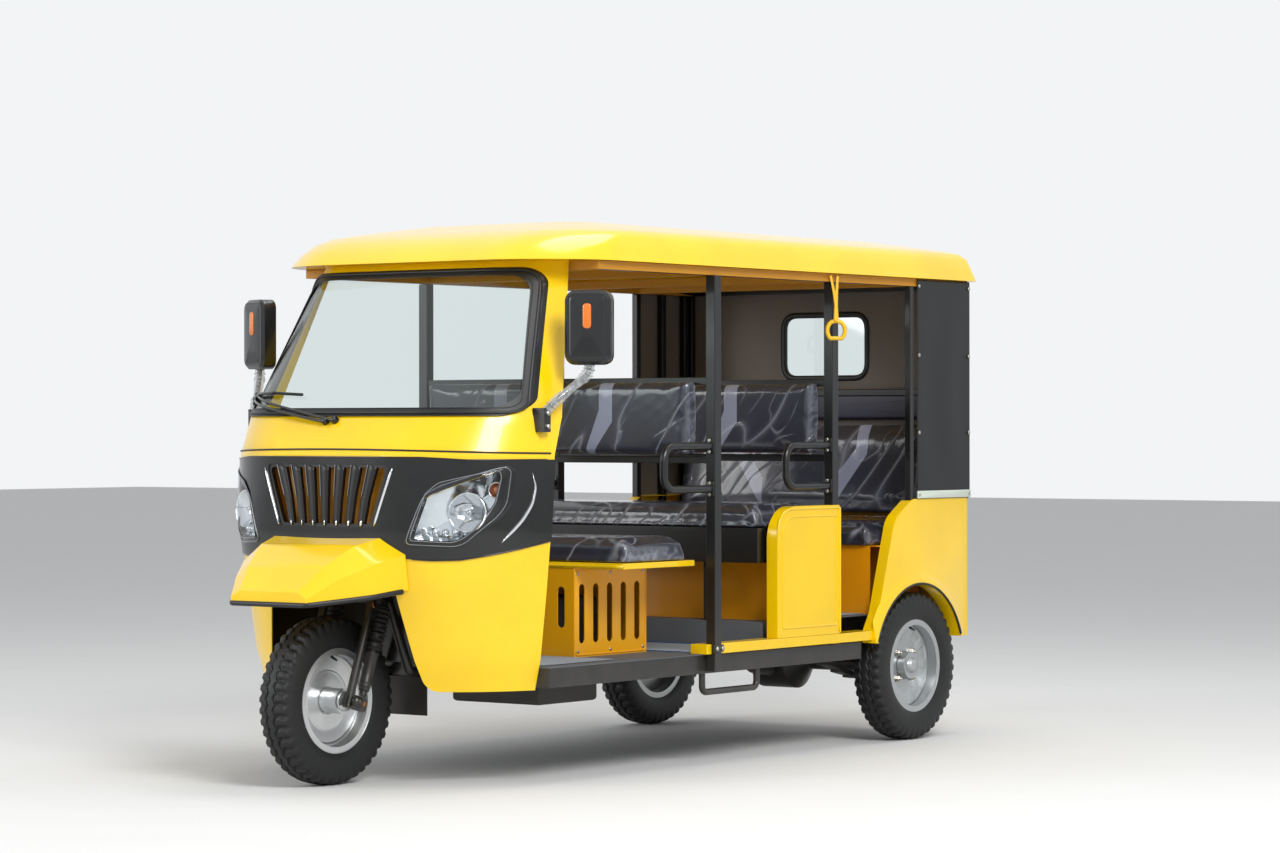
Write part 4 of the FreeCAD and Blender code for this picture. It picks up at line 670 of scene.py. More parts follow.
# %% [markdown]
# ## Rims
# The discs are pressed: a dish between hub and rim, with windows pushed in to stiffen it. A polar grid of the
# disc follows the CAD disc and adds the pressing. Turned rings, nuts and a valve finish each wheel.

# %% Pressed discs
DISC_EDGE, DISC_BEND, DISH_DEPTH = 145.5, 90, 12


def disc(name, wheel, outer_face, inner_radius, windows, depth, slot):
    """along = dish(r) - depth * band(r) * window(angle), where the band lies between hub and rim."""
    centre, body, way = wheel[1:]
    radius = np.linspace(inner_radius, DISC_EDGE, 30)[:, None]
    angle = np.linspace(0, 2 * np.pi, 192, endpoint=False)
    dish = np.interp(radius, [DISC_BEND, DISC_EDGE], [outer_face - DISH_DEPTH, outer_face]) + 1.2
    band = smooth_step(radius, 94, 104) * (1 - smooth_step(radius, 126, 137))
    window = smooth_step(np.cos(angle * windows), -0.35, 0.25)
    points = about_axle(way * (dish - depth * band * window), radius, angle) + centre
    piece = new_mesh(name, points, grid_faces(30, 192, False, True), closed=False)
    thicken(piece, 1.0, 0.0)
    return dress(piece, slot, body=body)


disc("front_disc_left_face", WHEELS[0], 12, 42, 0, 6.0, "wheel_alloy")
disc("left_disc_face", WHEELS[1], 8, 50, 10, 5.0, "wheel_steel")
disc("right_disc_face", WHEELS[2], 8, 50, 10, 5.0, "wheel_steel")

RIM_LIP = np.array([(43, 164.5), (45, 163.5), (46.6, 164.5), (47, 166.5), (45.5, 168.2), (43.5, 167.5)])
HUB_CAP = [(72, 0), (72, 30), (74, 31), (75, 28), (75, 21), (77, 19), (77, 0)]
WHEEL_NUT = [(0, 0), (0, 15), (2, 15), (2.2, 11), (12, 11), (13.5, 9.5), (13.5, 5.5), (20, 5.5), (21, 4.4),
             (21, 0)]
GREASE_CAP = [(0, 0), (0, 40), (4, 41), (8, 38), (10, 28), (24, 26), (30, 21), (32, 10), (32, 0)]
NUT_CIRCLE = 66.0
for prefix, centre, body, way in WHEELS:
    slot = "wheel_alloy" if prefix == "front" else "wheel_steel"
    dress(turned(prefix + "_rim_lip", RIM_LIP, 128, centre, closed=True), slot, body=body)
    dress(turned(prefix + "_rim_lip_inner", RIM_LIP * (-1, 1), 128, centre, closed=True), slot, body=body)
    if prefix == "front":
        dress(turned("front_hub_cap", HUB_CAP, 48, centre), slot, body=body)
    else:
        nut_places = about_axle(way * -1.2, NUT_CIRCLE, np.arange(4) * np.pi / 2 + np.pi / 4) + centre
        dress(turned(prefix + "_wheel_nuts", WHEEL_NUT, 6, nut_places, (way, 0, 0), smooth=False),
              "wheel_steel", "bolt_zinc", body)
        cap_place = np.array(centre) + (way * 14.5, 0, 0)
        dress(turned(prefix + "_grease_cap", GREASE_CAP, 48, cap_place, (way, 0, 0)), slot, body=body)
    stem = np.array(centre) + np.array([(20, 0, 140), (30, 0, 134), (44, 0, 128)]) * (way, 1, 1)
    dress(tube(prefix + "_valve", stem, [5, 4, 3.2], 10), "tyre_rubber", body=body)
print("rims dressed")

# %% [markdown]
# ## Fork and handlebar
# Everything on the fork is measured along the steering axis, which leans back by 20 degrees. One function
# turns those places into the vehicle's own. The bellows is a sine along a turned profile.

# %% Steering places
RAKE = math.radians(20)
FOOT = (30 * math.cos(RAKE), AXLE_Z - 30 * math.sin(RAKE))


def raked(points):
    """y' = foot + y cos + z sin, z' = foot - y sin + z cos."""
    x, y, z = np.moveaxis(np.asarray(points, float), -1, 0)
    return np.stack([x, FOOT[0] + y * math.cos(RAKE) + z * math.sin(RAKE),
                     FOOT[1] - y * math.sin(RAKE) + z * math.cos(RAKE)], -1)


steer_axis = (0, math.sin(RAKE), math.cos(RAKE))
SHOCK_X, SHOCK_Y, KNOB_X, LINK_X = 98, 22, 119.5, 106
BELLOWS_LONG, BELLOWS_FOLDS = 138, 9
along = np.linspace(0, BELLOWS_LONG, 97)
share = along / BELLOWS_LONG
bellows = np.stack([along, 23.5 + 3.4 * np.sin(share * 2 * np.pi * BELLOWS_FOLDS - 0.8) + 2.0 * share], 1)
bellows = np.concatenate([[(-4, 0), (-4, 21), (-1, 22)], bellows, [(142, 22), (146, 18), (146, 0)]])
boot_places = raked([(SHOCK_X, SHOCK_Y, 186), (-SHOCK_X, SHOCK_Y, 186)])
dress(turned("shock_boots", bellows, 40, boot_places, steer_axis), "spring_steel", "grip", "steering")
damper = [(0, 0), (0, 15), (3, 17), (22, 17), (24, 20), (30, 20), (31, 19.6), (120, 19.6), (122, 22),
          (130, 22), (131, 0)]
damper_places = raked([(SHOCK_X, SHOCK_Y, 50), (-SHOCK_X, SHOCK_Y, 50)])
dress(turned("shock_bodies", damper, 40, damper_places, steer_axis), "spring_steel", body="steering")
knob = [(0, 0), (0, 17), (3, 19), (14, 19), (18, 17), (20, 12), (27, 11), (29, 8), (29, 0)]
for side, name in ((1, "axle_knobs"), (-1, "axle_knob_right")):
    dress(turned(name, knob, 32, (side * KNOB_X, 0, AXLE_Z), (side, 0, 0)), "frame_black", body="steering")
FORK_HEAD = (10, 7, 8, 8.6)
link_places = raked([(LINK_X, 20, 8), (LINK_X, 20, 318), (LINK_X, -36, 318)])
for side, mark in SIDES:
    dress(hex_heads("fork_bolts_" + mark, FORK_HEAD, link_places * (side, 1, 1), (side, 0, 0)),
          "frame_black", "copper_bolt", "steering")
crown_places = raked([(SHOCK_X, -14, 365), (-SHOCK_X, -14, 365), (60, -30, 365), (-60, -30, 365)])
dress(hex_heads("crown_bolts", FORK_HEAD, crown_places, steer_axis), "frame_black", "bolt_zinc", "steering")

# %% Grips, levers and dash unit
GRIP_LONG = 118
bar_end, bar_bend = np.array((350, 118, 808)), np.array((230, 62, 812))
run = (bar_bend - bar_end) / np.linalg.norm(bar_bend - bar_end)
pivot = bar_end + run * 128
for side, mark in SIDES:
    flip = np.array((side, 1, 1))
    along = np.linspace(0, GRIP_LONG, 60)
    grip_line = raked((bar_end + run * along[:, None] - run * 2) * flip)
    grip_size = 15.5 + 0.9 * np.sin(along * 0.9) + np.where(along > 112, 3.5, 0) + np.where(along < 4, 1.5, 0)
    dress(tube(mark + "_grip", grip_line, grip_size, 20), "frame_black", "grip", "steering")
    lever = rounded(pivot + np.array([(0, -14, -2), (20, -44, -4), (90, -20, -8), (118, -12, -10)]), 14)
    dress(tube(mark + "_lever", raked(lever * flip), np.linspace(6.5, 5, len(lever)), 12, 0.7),
          "wheel_alloy", "bolt_zinc", "steering")
    perch = raked(np.array([pivot + run * 14, pivot, pivot - run * 14]) * flip)
    dress(tube(mark + "_lever_perch", perch, [16, 17.5, 16], 20), "frame_black", "grip", "steering")


def dash_lay(a, b, level):
    """The instrument's face stands on the clamp and leans towards the driver."""
    level = np.broadcast_to(level, a.shape)
    return raked(np.stack([a, 30 + level * 0.8 - b * 0.35, 862 + b + level * 0.5], -1))


dial_face = box_outline(-62, 62, -22, 34, 24, 6, 12)
case_rows = [(None, -34), (14, -34), (3, -26), (0, -10), (0, 0), (3, 4), (8, 4)]
dress(plate("instrument_case", dial_face, case_rows, dash_lay), "frame_black", "grip", "steering")
dress(plate("instrument_glass", dial_face, [(8, 3), (12, 2.4), (None, 2.4)], dash_lay, closed=False),
      "lamp_clear", "lamp_bowl", "steering")
print("fork and handlebar dressed")

# %% [markdown]
# ## The nose: lamps, grille trims and mask
# Each lamp is a bright chromed bowl behind a clear cover, with a round reflector, an amber indicator and
# a row of small lights. The cover follows the cab's wall a few millimetres further out, in a glossy black
# surround with two thin grey lines on it, which are painted highlights.

# %% Headlamps
LENS = np.array([(325, 779), (444, 773), (471, 786), (500, 814), (523, 851), (542, 898), (553, 973),
                 (550, 998), (410, 960), (374, 926)], float)
OPENING = np.array([(313, 770), (462, 763), (561, 874), (568, 1006), (372, 915)], float)
LAMP_MIDDLE = np.array((455.0, 875.0))
# x, z and level of the main reflector and of the indicator
MAIN_LAMP, INDICATOR = (456, 864, -48), (520, 934, -34)
LIGHT_ROW_Z, LIGHT_ROW_LEVEL = 803.0, -20
lamp_turn = np.linspace(0, 2 * np.pi, 160, endpoint=False)


def polar(outline):
    """The outline's distance from the lamp's middle at each angle."""
    away = outline - LAMP_MIDDLE
    angle = np.arctan2(away[:, 1], away[:, 0]) % (2 * np.pi)
    order = np.argsort(angle)
    return np.interp(lamp_turn, angle[order], np.hypot(away[:, 0], away[:, 1])[order], period=2 * np.pi)


lens_reach = polar(dense(LENS, 9, 5, 4))
opening_reach = polar(drawn_in(dense(OPENING, (7, 24, 40, 12, 30), 7, 4), -9))


def about_lamp(side, share, level):
    """Places on the wall round the lamp; share 0 is the lens edge, 1 the opening's, and -1 the middle."""
    reach = np.where(share > 0, lens_reach + share * (opening_reach - lens_reach), lens_reach * (1 + share))
    x = side * (LAMP_MIDDLE[0] + reach * np.cos(lamp_turn))
    z = LAMP_MIDDLE[1] + reach * np.sin(lamp_turn)
    return on_nose(x, z, np.broadcast_to(level, x.shape))


def lamp_piece(name, side, rows, ring=False):
    """A piece from rows of (share, level) round the lamp."""
    share, level = np.array(rows, float).T[:, :, None]
    points = about_lamp(side, share, level)
    return new_mesh(name, points, grid_faces(len(rows), len(lamp_turn), ring, True), closed=ring)


def reflector(depth, start, wide, rim):
    """A parabola, along = depth t^2 and out = start + wide t, with a rolled rim."""
    t = np.linspace(0, 1, 26)
    return np.concatenate([np.stack([t ** 2 * depth, start + t * wide], 1), rim])


SURROUND = [(1.0, 3.6), (0.95, 5.4), (0.6, 5.0), (0.5, 4.2), (0.4, 5.0), (0.12, 5.8), (0.04, 7.6),
            (-0.02, 7.6), (-0.03, 5), (-0.03, -10), (0.9, -10)]
BOWL = [(0.3, 2), (0, 2), (-0.02, -2), (-0.08, -18), (-0.2, -34), (-0.45, -46), (-0.75, -52), (-1, -54)]
COVER = [(0.02, 4.5), (-0.08, 7.5), (-0.25, 9.5), (-0.6, 11.5), (-1, 12)]
MAIN_BULB = [(0, 0), (0, 7), (12, 7), (16, 9), (24, 9), (28, 6), (29, 0)]
INDICATOR_BULB = [(0, 0), (0, 9), (12, 12), (22, 10), (27, 5), (27, 0)]
SMALL_LIGHT = [(-6, 12), (0, 12), (2, 11), (3, 9), (5, 8.4), (8, 6), (10, 0)]
CRESCENT = [(602, 989), (606, 946), (601, 891), (587, 841), (569, 802), (550, 771)]
main_reflector = reflector(40, 6, 52, [(42, 59.5), (42, 62), (38, 63), (20, 62)])
indicator_reflector = reflector(20, 3, 20, [(21, 25), (20, 26), (10, 25)])
for side, mark in SIDES:
    dress(lamp_piece(mark + "_lamp_surround", side, SURROUND, ring=True), "mask_black")
    # The two thin grey lines on the black surround are painted highlights
    for index, (share, out) in enumerate(((0.06, 8.2), (0.72, 6.0))):
        line = about_lamp(side, share, out)
        dress(tube("%s_lamp_painted_highlight_%d" % (mark, index), line, 1.5, 8, loop=True), "lamp_clear", "painted_highlight_grey")
    dress(lamp_piece(mark + "_lamp_bowl", side, BOWL), "lamp_clear", "lamp_bowl")
    dress(lamp_piece(mark + "_lamp_cover", side, COVER), "lamp_clear")
    forward = np.array((side * 0.35, -0.93, 0.05))
    forward /= np.linalg.norm(forward)
    main_place, indicator_place = [on_nose(side * x, z, level) for x, z, level in (MAIN_LAMP, INDICATOR)]
    light_places = on_nose(side * np.linspace(358, 462, 5), LIGHT_ROW_Z, LIGHT_ROW_LEVEL)
    for name, profile, segments, where, finish in (
            ("main_reflector", main_reflector, 64, main_place, "chrome"),
            ("main_bulb", MAIN_BULB, 24, main_place, "silver_strip"),
            ("indicator_reflector", indicator_reflector, 40, indicator_place, "chrome"),
            ("indicator_bulb", INDICATOR_BULB, 24, indicator_place, "bulb_orange"),
            ("row_lights", SMALL_LIGHT, 24, light_places, "silver_strip")):
        dress(turned("%s_%s" % (mark, name), profile, segments, where, forward), "lamp_clear", finish)
    path = rounded(CRESCENT, 18)
    share = np.linspace(-1, 1, len(path))
    width = 1.5 + 8.0 * np.sqrt(np.maximum(1 - share ** 2, 0))
    dress(tube(mark + "_chrome_crescent", on_nose(side * path[:, 0], path[:, 1], 6.0), width, 16, 0.35,
               (0.1 * side, 1, 0)), "mask_black", "chrome")
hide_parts("headlamps")
print("lamps dressed")

# %% [markdown]
# The grille's slats are wide at the top and narrow at the foot, with a knee between. A cap on each gives that
# taper: one cross-section, wider or narrower along the slat's path. A tray of yellow sheet closes the space
# behind, as the panel does that keeps water out of the cab. Its yellow is darkened to orange-brown as
# painted shade.

# %% Grille trims
GRILLE_TOP, GRILLE_FOOT, TOP_Z, FOOT_Z = 257.0, 192.0, 1016.0, 818.0
KNEE_Z = (TOP_Z + FOOT_Z) / 2 - 8
SLAT_HEIGHTS, SLAT_WIDTHS = (FOOT_Z, KNEE_Z, TOP_Z), (11.5, 14.5, 19)
slat_share = (np.arange(7) + 1) / 8 * 2 - 1


def slat_path(share, steps=22):
    """x and z along one slat, from its foot over the knee to its top."""
    foot, top = share * GRILLE_FOOT, share * GRILLE_TOP
    z = np.linspace(FOOT_Z + 2, TOP_Z - 2, steps)
    return np.interp(z, SLAT_HEIGHTS, [foot, (foot + top) / 2 - 9 * share, top]), z


def slat_caps():
    """point = path + across * width(z) * section, for every slat; the half width grows from foot to top."""
    section = np.array([(-1, -12), (-1, 0.5), (-0.86, 3.0), (0, 5.0), (0.86, 3.0), (1, 0.5), (1, -12)], float)
    points = []
    for share in slat_share:
        x, z = slat_path(share)
        width = np.interp(z, SLAT_HEIGHTS, SLAT_WIDTHS)
        width[[0, -1]] = 0.01
        points.append(on_nose(x[:, None] + width[:, None] * section[:, 0], z[:, None] + 0 * section[:, 0],
                              section[:, 1]))
    return equal_grids("grille_slat_caps", np.stack(points))


dress(slat_caps(), "grille_black")
for index, share in enumerate(slat_share):
    x, z = slat_path(share, 40)
    upper, low = z > KNEE_Z + 4, z < FOOT_Z + 24
    # A thin grey line down each slat's upper edge is a painted highlight
    edge_x = x[upper] - np.interp(z[upper], SLAT_HEIGHTS, SLAT_WIDTHS) * 0.85
    dress(tube("slat_painted_highlight_%d" % index, on_nose(edge_x, z[upper], 4.2), 1.1, 8), "grille_black", "painted_highlight_grey")
    tip_size = ([1.0, 4.0, 4.5, 3.0] + [1.0] * len(z))[:low.sum()]
    dress(tube("slat_tip_%d" % index, on_nose(x[low] + 2, z[low], 4.6), tip_size, 10, 0.5),
          "grille_black", "chrome")
for side, mark in SIDES:
    bar = np.linspace((268, 1004), (200, 822), 16)
    bar_size = np.interp(np.arange(16), [0, 2, 13, 15], [2, 4.6, 4.6, 2])
    dress(tube("%s_grille_bar" % mark, on_nose(side * bar[:, 0], bar[:, 1], 5.0), bar_size, 12, 0.7),
          "grille_black", "chrome")
tray = dense([(-196, 812), (196, 812), (262, 1022), (-262, 1022)], 6, 4, 20)
tray = plate("grille_tray", tray, [(-4, -5), (0, -8), (0, -52), (4, -56), (None, -56)], on_nose, closed=False)
thicken(tray, 1.2, -1.0)
# The tray's darker yellow is painted shade
dress(tray, "body_yellow", "painted_shade_panel")
print("grille dressed")

# %% [markdown]
# A black seam runs round the cab just above the mask, where two mouldings meet. A rubber bead fills it. The
# same bead, laid along the mask's lower edge, gives the mask a rolled rim.

# %% Seams round the cab
x = np.linspace(-618, 618, 161)
seam_z = 1063 - 13 * (np.abs(x) / 618) ** 2
dress(tube("cab_seam", on_nose(x, seam_z, 0.2), 5.0, 10, 0.6), "seal_rubber")
mask_low = np.interp(nose_y(x, 750), [-100, 60, 110, 450], [738, 716, 718, 790])
for side, mark in SIDES:
    beside = x * side > 322
    dress(tube(mark + "_mask_rim", on_nose(x[beside], mask_low[beside], 3.6), 2.6, 8), "mask_black")
mask_top = np.interp(nose_y(x, 1035), [-100, 40, 120, 450], [1040, 1038, 1030, 1030])
dress(tube("mask_upper_rim", on_nose(x, mask_top, 3.4), 2.4, 8), "mask_black")

# %% Windscreen rubber and wiper
screen = dense([(-578, 1178), (578, 1178), (476, 1635), (-476, 1635)], (42, 42, 58, 58), 9, 20)
dress(tube("screen_rubber_bead", on_nose(*screen.T, 6.0), 7.5, 12, 0.6, loop=True), "seal_rubber")
inner = dense([(-563, 1193), (563, 1193), (463, 1620), (-463, 1620)], (36, 36, 52, 52), 9, 20)
dress(tube("screen_filler_strip", on_nose(*inner.T, 6.6), 2.6, 8, 0.6, loop=True), "seal_rubber")
# x and z of each wiper arm's pivot and of its joint on the blade
WIPER_PIVOTS, WIPER_JOINTS = np.array([(-21, 1154), (-58, 1150)]), np.array([(-508, 1240), (-532, 1226)])
for index, (start, stop) in enumerate(zip(WIPER_PIVOTS, WIPER_JOINTS)):
    arm = np.linspace(start, stop, 26)
    lift = 12 + 10 * np.sin(np.linspace(0, np.pi, 26))
    dress(tube("wiper_arm_%d" % index, on_nose(*arm.T, lift), np.linspace(5.5, 4, 26), 10), "mirror_black")


def evenly(path, count):
    """A path read at a number of even steps of its index."""
    places = np.linspace(0, 1, len(path))
    return np.stack([np.interp(np.linspace(0, 1, count), places, axis) for axis in path.T], 1)


blade = evenly(rounded([(-215, 1238), (-400, 1246), (-520, 1238), (-584, 1190)], 60, 9), 40)
dress(tube("wiper_blade", on_nose(*blade.T, 10), 5.0, 8), "flap_rubber")
dress(tube("wiper_blade_spine", on_nose(*blade[4:-4].T, 17), 5.0, 8), "mirror_black")
joint_profile = [(-12, 0), (-12, 7), (6, 7), (9, 4), (9, 0)]
dress(turned("wiper_joints", joint_profile, 20, on_nose(*WIPER_JOINTS.T, 16), (-0.5, -0.8, 0.3)),
      "mirror_black")
pivot_profile = [(-10, 0), (-10, 13), (2, 13), (6, 11), (14, 10), (18, 6), (18, 0)]
dress(turned("wiper_pivots", pivot_profile, 28, on_nose(*WIPER_PIVOTS.T, 4), (0, -0.9, 0.35)), "mirror_black")
print("windscreen dressed")

# %% [markdown]
# ## Fender edge and mirrors
# The fender's lower edge wears a black rubber profile. Its path is the CAD fender's own section table.

# %% Fender rubber
FENDER = np.array([(60, 312, 624), (8, 302, 620), (-90, 272, 606), (-190, 212, 594), (-272, 158, 584)], float)
right = np.stack([-FENDER[:, 1], FENDER[:, 0], FENDER[:, 2] - 2], 1)
left = (right * (-1, 1, 1))[::-1]
edge = rounded(np.concatenate([right, left]), 14, 5)
keep = (edge[:, 1] < 20) | (np.abs(edge[:, 0]) > 320)
dress(tube("fender_rubber", edge[keep], 6.5, 10, 1.3, (0, 0, 1)), "seal_rubber")
print("fender dressed")

# %% Mirrors
MIRROR = np.array((702.0, 456.0, 1446.0))
MIRROR_TURN = math.radians(22)
CLAMP = (628.2, 337)
CASE = [(None, -31), (26, -30), (18, -28.5), (10, -24), (4, -17), (0.4, -6), (0, 12), (1, 24), (4, 27),
        (9, 27), (10, 23), (None, 23)]
for side, mark in SIDES:
    def mirror_lay(a, b, level, side=side):
        """The mirror's own width, height and depth, turned about the upright through its middle."""
        level = np.broadcast_to(level, np.shape(a))
        x = MIRROR[0] + a * math.cos(MIRROR_TURN) - level * math.sin(MIRROR_TURN)
        y = MIRROR[1] + a * math.sin(MIRROR_TURN) + level * math.cos(MIRROR_TURN)
        return np.stack([side * x, y, MIRROR[2] + b], -1)

    outline = box_outline(-75, 75, -117, 117, 34, 8, 14)
    dress(plate(mark + "_mirror_case", outline, CASE, mirror_lay), "mirror_black")
    dress(plate(mark + "_mirror_face", outline, [(9.5, 24.5), (None, 24.8)], mirror_lay, closed=False),
          "mirror_black", "mirror_face")
    lamp = box_outline(-14, 14, -3, 76, 12, 6, 6)
    dress(plate(mark + "_mirror_lamp", lamp, [(0, -25), (0, -31), (1.5, -33), (5, -34), (None, -34.5)],
                mirror_lay), "mirror_black", "amber")
    arm = [(*MIRROR[:2], 1332), (*MIRROR[:2], 1302), (632, 361, 1208), (616, 338, 1178)]
    line = evenly(rounded(np.array(arm, float) * (side, 1, 1), 26, 9), 70)
    lumps = np.linspace(0, 1, 70)
    size = 17 + 2.2 * np.sin(lumps * 47) + 1.6 * np.sin(lumps * 83 + side)
    size[:3], size[-3:] = (11, 13, 15), (15, 13, 11)
    dress(tube(mark + "_mirror_wrap", line, size, 24), "mirror_black", "wrap")
    collar = np.array([(*MIRROR[:2], 1326), (*MIRROR[:2], 1342)]) * (side, 1, 1)
    dress(tube(mark + "_mirror_collar", collar, [16, 14], 20), "mirror_black")
    clamp_places = np.array([(*CLAMP, 1134), (*CLAMP, 1176)]) * (side, 1, 1)
    dress(hex_heads(mark + "_clamp_bolts", (8, 5, 6, 6.5), clamp_places, (side, 0, 0)),
          "mirror_black", "bolt_zinc")
print("mirrors dressed")

# %% [markdown]
# ## Sides and cabin
# The panels below the benches are pressings with a rolled lip and a groove set in from their edge. A bead
# along each outline gives the lip, and a thinner bead set in from the edge follows the groove.

# %% Side panels
PANEL_FRONT, PANEL_REAR, PANEL_FOOT, PANEL_TOP = 1611, 1994, 412, 850
ARCH_RADIUS = 297
for side, mark in SIDES:
    corners = [(PANEL_FRONT, PANEL_FOOT), (PANEL_FRONT, PANEL_TOP),
               (PANEL_REAR, PANEL_TOP), (PANEL_REAR, PANEL_FOOT)]
    lip = dense(corners, (2, 96, 10, 2), 12, 25)
    start, stop = [np.argmin(np.abs(lip - corner).sum(1)) for corner in (corners[0], corners[3])]
    run = np.roll(lip, -start, 0)[:(stop - start) % len(lip) + 1]
    dress(tube(mark + "_panel_lip", at_x(side * 630.5, run), 5.0, 12), "panel_yellow")
    inset = dense([(1640, 440), (1640, 822), (1975, 822), (1975, 440)], (10, 74, 14, 10), 10, 25)
    dress(tube(mark + "_panel_bead", at_x(side * 630.4, inset), 3.2, 10, loop=True), "panel_yellow")
    angle = np.linspace(math.radians(-14), math.radians(196), 70)
    arch = np.stack([REAR_Y - ARCH_RADIUS * np.cos(angle), AXLE_Z + ARCH_RADIUS * np.sin(angle)], 1)
    arch = arch[(arch[:, 0] > 2210) & (arch[:, 0] < 2842) & (arch[:, 1] > 366)]
    dress(tube(mark + "_arch_rubber", at_x(side * 645.0, arch), 4.5, 10), "seal_rubber")

# %% [markdown]
# Grab handles end on small plates, each with two bolts. The posts stand on feet of the same kind.

# %% Handle plates and post feet
for side, mark in SIDES:
    bolt_places = []
    for x, y in ((625.0, 1221.0), (607.7, 1956.0)):
        for level in (925, 1068):
            flange = box_outline(x - 17, x + 17, level - 26, level + 26, 9, 5, 12) * (side, 1)
            rows = [(None, 0), (0, 0), (0, 3.5), (1.2, 4.5), (None, 4.5)]
            piece = plate("%s_handle_plate_%d_%d" % (mark, x, level), flange, rows, facing("front", y))
            dress(piece, "frame_black")
            bolt_places += [(side * x, y - 4.5, level - 19), (side * x, y - 4.5, level + 19)]
    dress(hex_heads(mark + "_handle_bolts", (6.5, 4, 5, 5), bolt_places, (0, -1, 0)),
          "frame_black", "bolt_zinc")
    foot = box_outline(1212, 1268, 380, 405, 6, 4, 20)
    dress(plate(mark + "_post_foot", foot, [(None, 0), (0, 0), (0, 3), (1, 4), (None, 4)], facing(mark, 644)),
          "frame_black")
    foot_places = np.array([(648, 1224, 392), (648, 1256, 392)]) * (side, 1, 1)
    dress(hex_heads(mark + "_post_foot_bolts", (8, 5, 6.5, 6), foot_places, (side, 0, 0)),
          "frame_black", "bolt_zinc")

# %% Straps
STRAP_X, STRAP_Y = 637.0, 1958.0
for side, mark, ring in ((1, "left", None), (-1, "right", "ring_orange")):
    t = np.linspace(0, 1, 24)
    for index, start in enumerate((-30, 14)):
        line = np.stack([side * (STRAP_X + 3 * t), STRAP_Y + start * (1 - t) ** 1.4 + 2 * index,
                         1660 - 110 * t], 1)
        dress(tube("%s_strap_band_%d" % (mark, index), line, np.linspace(7, 9, 24), 12, 0.28, (1, 0, 0.1)),
              "strap_orange", ring)
    neck = np.linspace((side * (STRAP_X + 3), STRAP_Y, 1562), (side * (STRAP_X + 3), STRAP_Y, 1500), 12)
    dress(tube(mark + "_strap_neck", neck, np.linspace(8, 13, 12), 16, 0.6, (1, 0, 0.1)),
          "strap_orange", ring)
    angle = np.linspace(0, 2 * np.pi, 64, endpoint=False)
    wide = 31 * np.sign(np.cos(angle)) * np.abs(np.cos(angle)) ** 0.8
    tall = np.maximum(33 * np.sin(angle), -27)
    oval = np.stack([side * (STRAP_X + 3 + 0.75 * wide), STRAP_Y + 0.66 * wide, 1468 + tall], 1)
    dress(tube(mark + "_strap_ring", oval, 7.5, 14, reference=(side * 0.66, -0.75, 0), loop=True),
          "strap_orange", ring)
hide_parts("hand_straps")
print("sides dressed")

# %% [markdown]
# ## Floor mats
# Ribbed rubber mats lie on the floors. Their ribs are a sine across the mat, and a strip of the blue film
# they came in still shows at the edge.

# %% Mats
RIB_MM = 24


def mat(name, low, high, front, rear, level):
    """z = level + 2.5 + 1.3 sqrt(|sin|), with even ribs along the vehicle's length."""
    x = np.linspace(low, high, 3)
    y = np.linspace(front, rear, int((rear - front) / 4))
    height = level + 2.5 + 1.3 * np.abs(np.sin(np.pi * y / RIB_MM)) ** 0.5
    points = np.stack(np.broadcast_arrays(x[None], y[:, None], height[:, None]), -1)
    piece = new_mesh(name, points, grid_faces(len(y), 3), closed=False)
    thicken(piece, 2.0, 1.0)
    return dress(piece, "floor_grey", "mat")


mat("front_mat", -540, 540, 420, 800, 373)
mat("middle_mat", -530, 530, 1262, 1600, 373)
mat("rear_mat", -540, 540, 2000, 2285, 459)
for index, (y, z) in enumerate(((1230, 376), (1612, 378), (2001, 463))):
    line = np.linspace((-520, y, z), (520, y, z), 40)
    line[:, 2] += 1.5 * np.sin(np.arange(40) * 1.7)
    line[:, 1] += 2.0 * np.sin(np.arange(40) * 0.9)
    dress(tube("film_edge_%d" % index, line, 4.0, 8, 0.3), "floor_grey", "film_blue")

# %% Engine cover and seat plate
for side, mark in SIDES:
    edge = dense([(818, 380), (818, 660), (1206, 660), (1206, 380)], 14, 5, 30)
    dress(tube(mark + "_cover_bead", at_x(side * 365.6, edge), 2.6, 8, loop=True), "cover_grey")
    heads = [(side * 365.0, y, z) for z in (392, 648) for y in (832, 1010, 1192)]
    dress(round_heads(mark + "_cover_screws", side, 6, 3, heads), "cover_grey", "bolt_zinc")
dress(tube("seat_plate_lip", np.linspace((-567, 811, 676), (567, 811, 676), 30), 5.5, 12), "panel_yellow")


def second_finish(name, material, chosen):
    """Gives some faces of a CAD node another finish, chosen by their middles in mm and their normals."""
    mesh = nodes[name].data
    middles = (np.array([face.center[:] for face in mesh.polygons]) - (0, AXLE_Y, 0)) / MM
    faces = chosen(middles, np.array([face.normal[:] for face in mesh.polygons]))
    mesh.materials.append(material)
    mesh.polygons.foreach_set("material_index", faces.astype(np.int32))
    print(name, "faces in", material.name, int(faces.sum()))


def bow_faces(middles, normals):
    """The roof's bows between the side rails, and the outer faces of the rails: these get painted shade."""
    across = np.abs(middles[:, 0])
    outwards = normals[:, 0] * np.sign(middles[:, 0]) > 0.5
    return (across < 600) & (middles[:, 1] < 2700) | (across > 600) & outwards


second_finish("seat_frames", finishes["frame_black"], lambda middles, normals: middles[:, 1] > 1500)
# The roof's bows and the side rails' outer faces get a shaded yellow-brown: painted shade
second_finish("roof_frame", extras["painted_shade_bow"], bow_faces)
second_finish("rear_wall", finishes["curtain_black"], lambda middles, normals: middles[:, 1] > 2855)

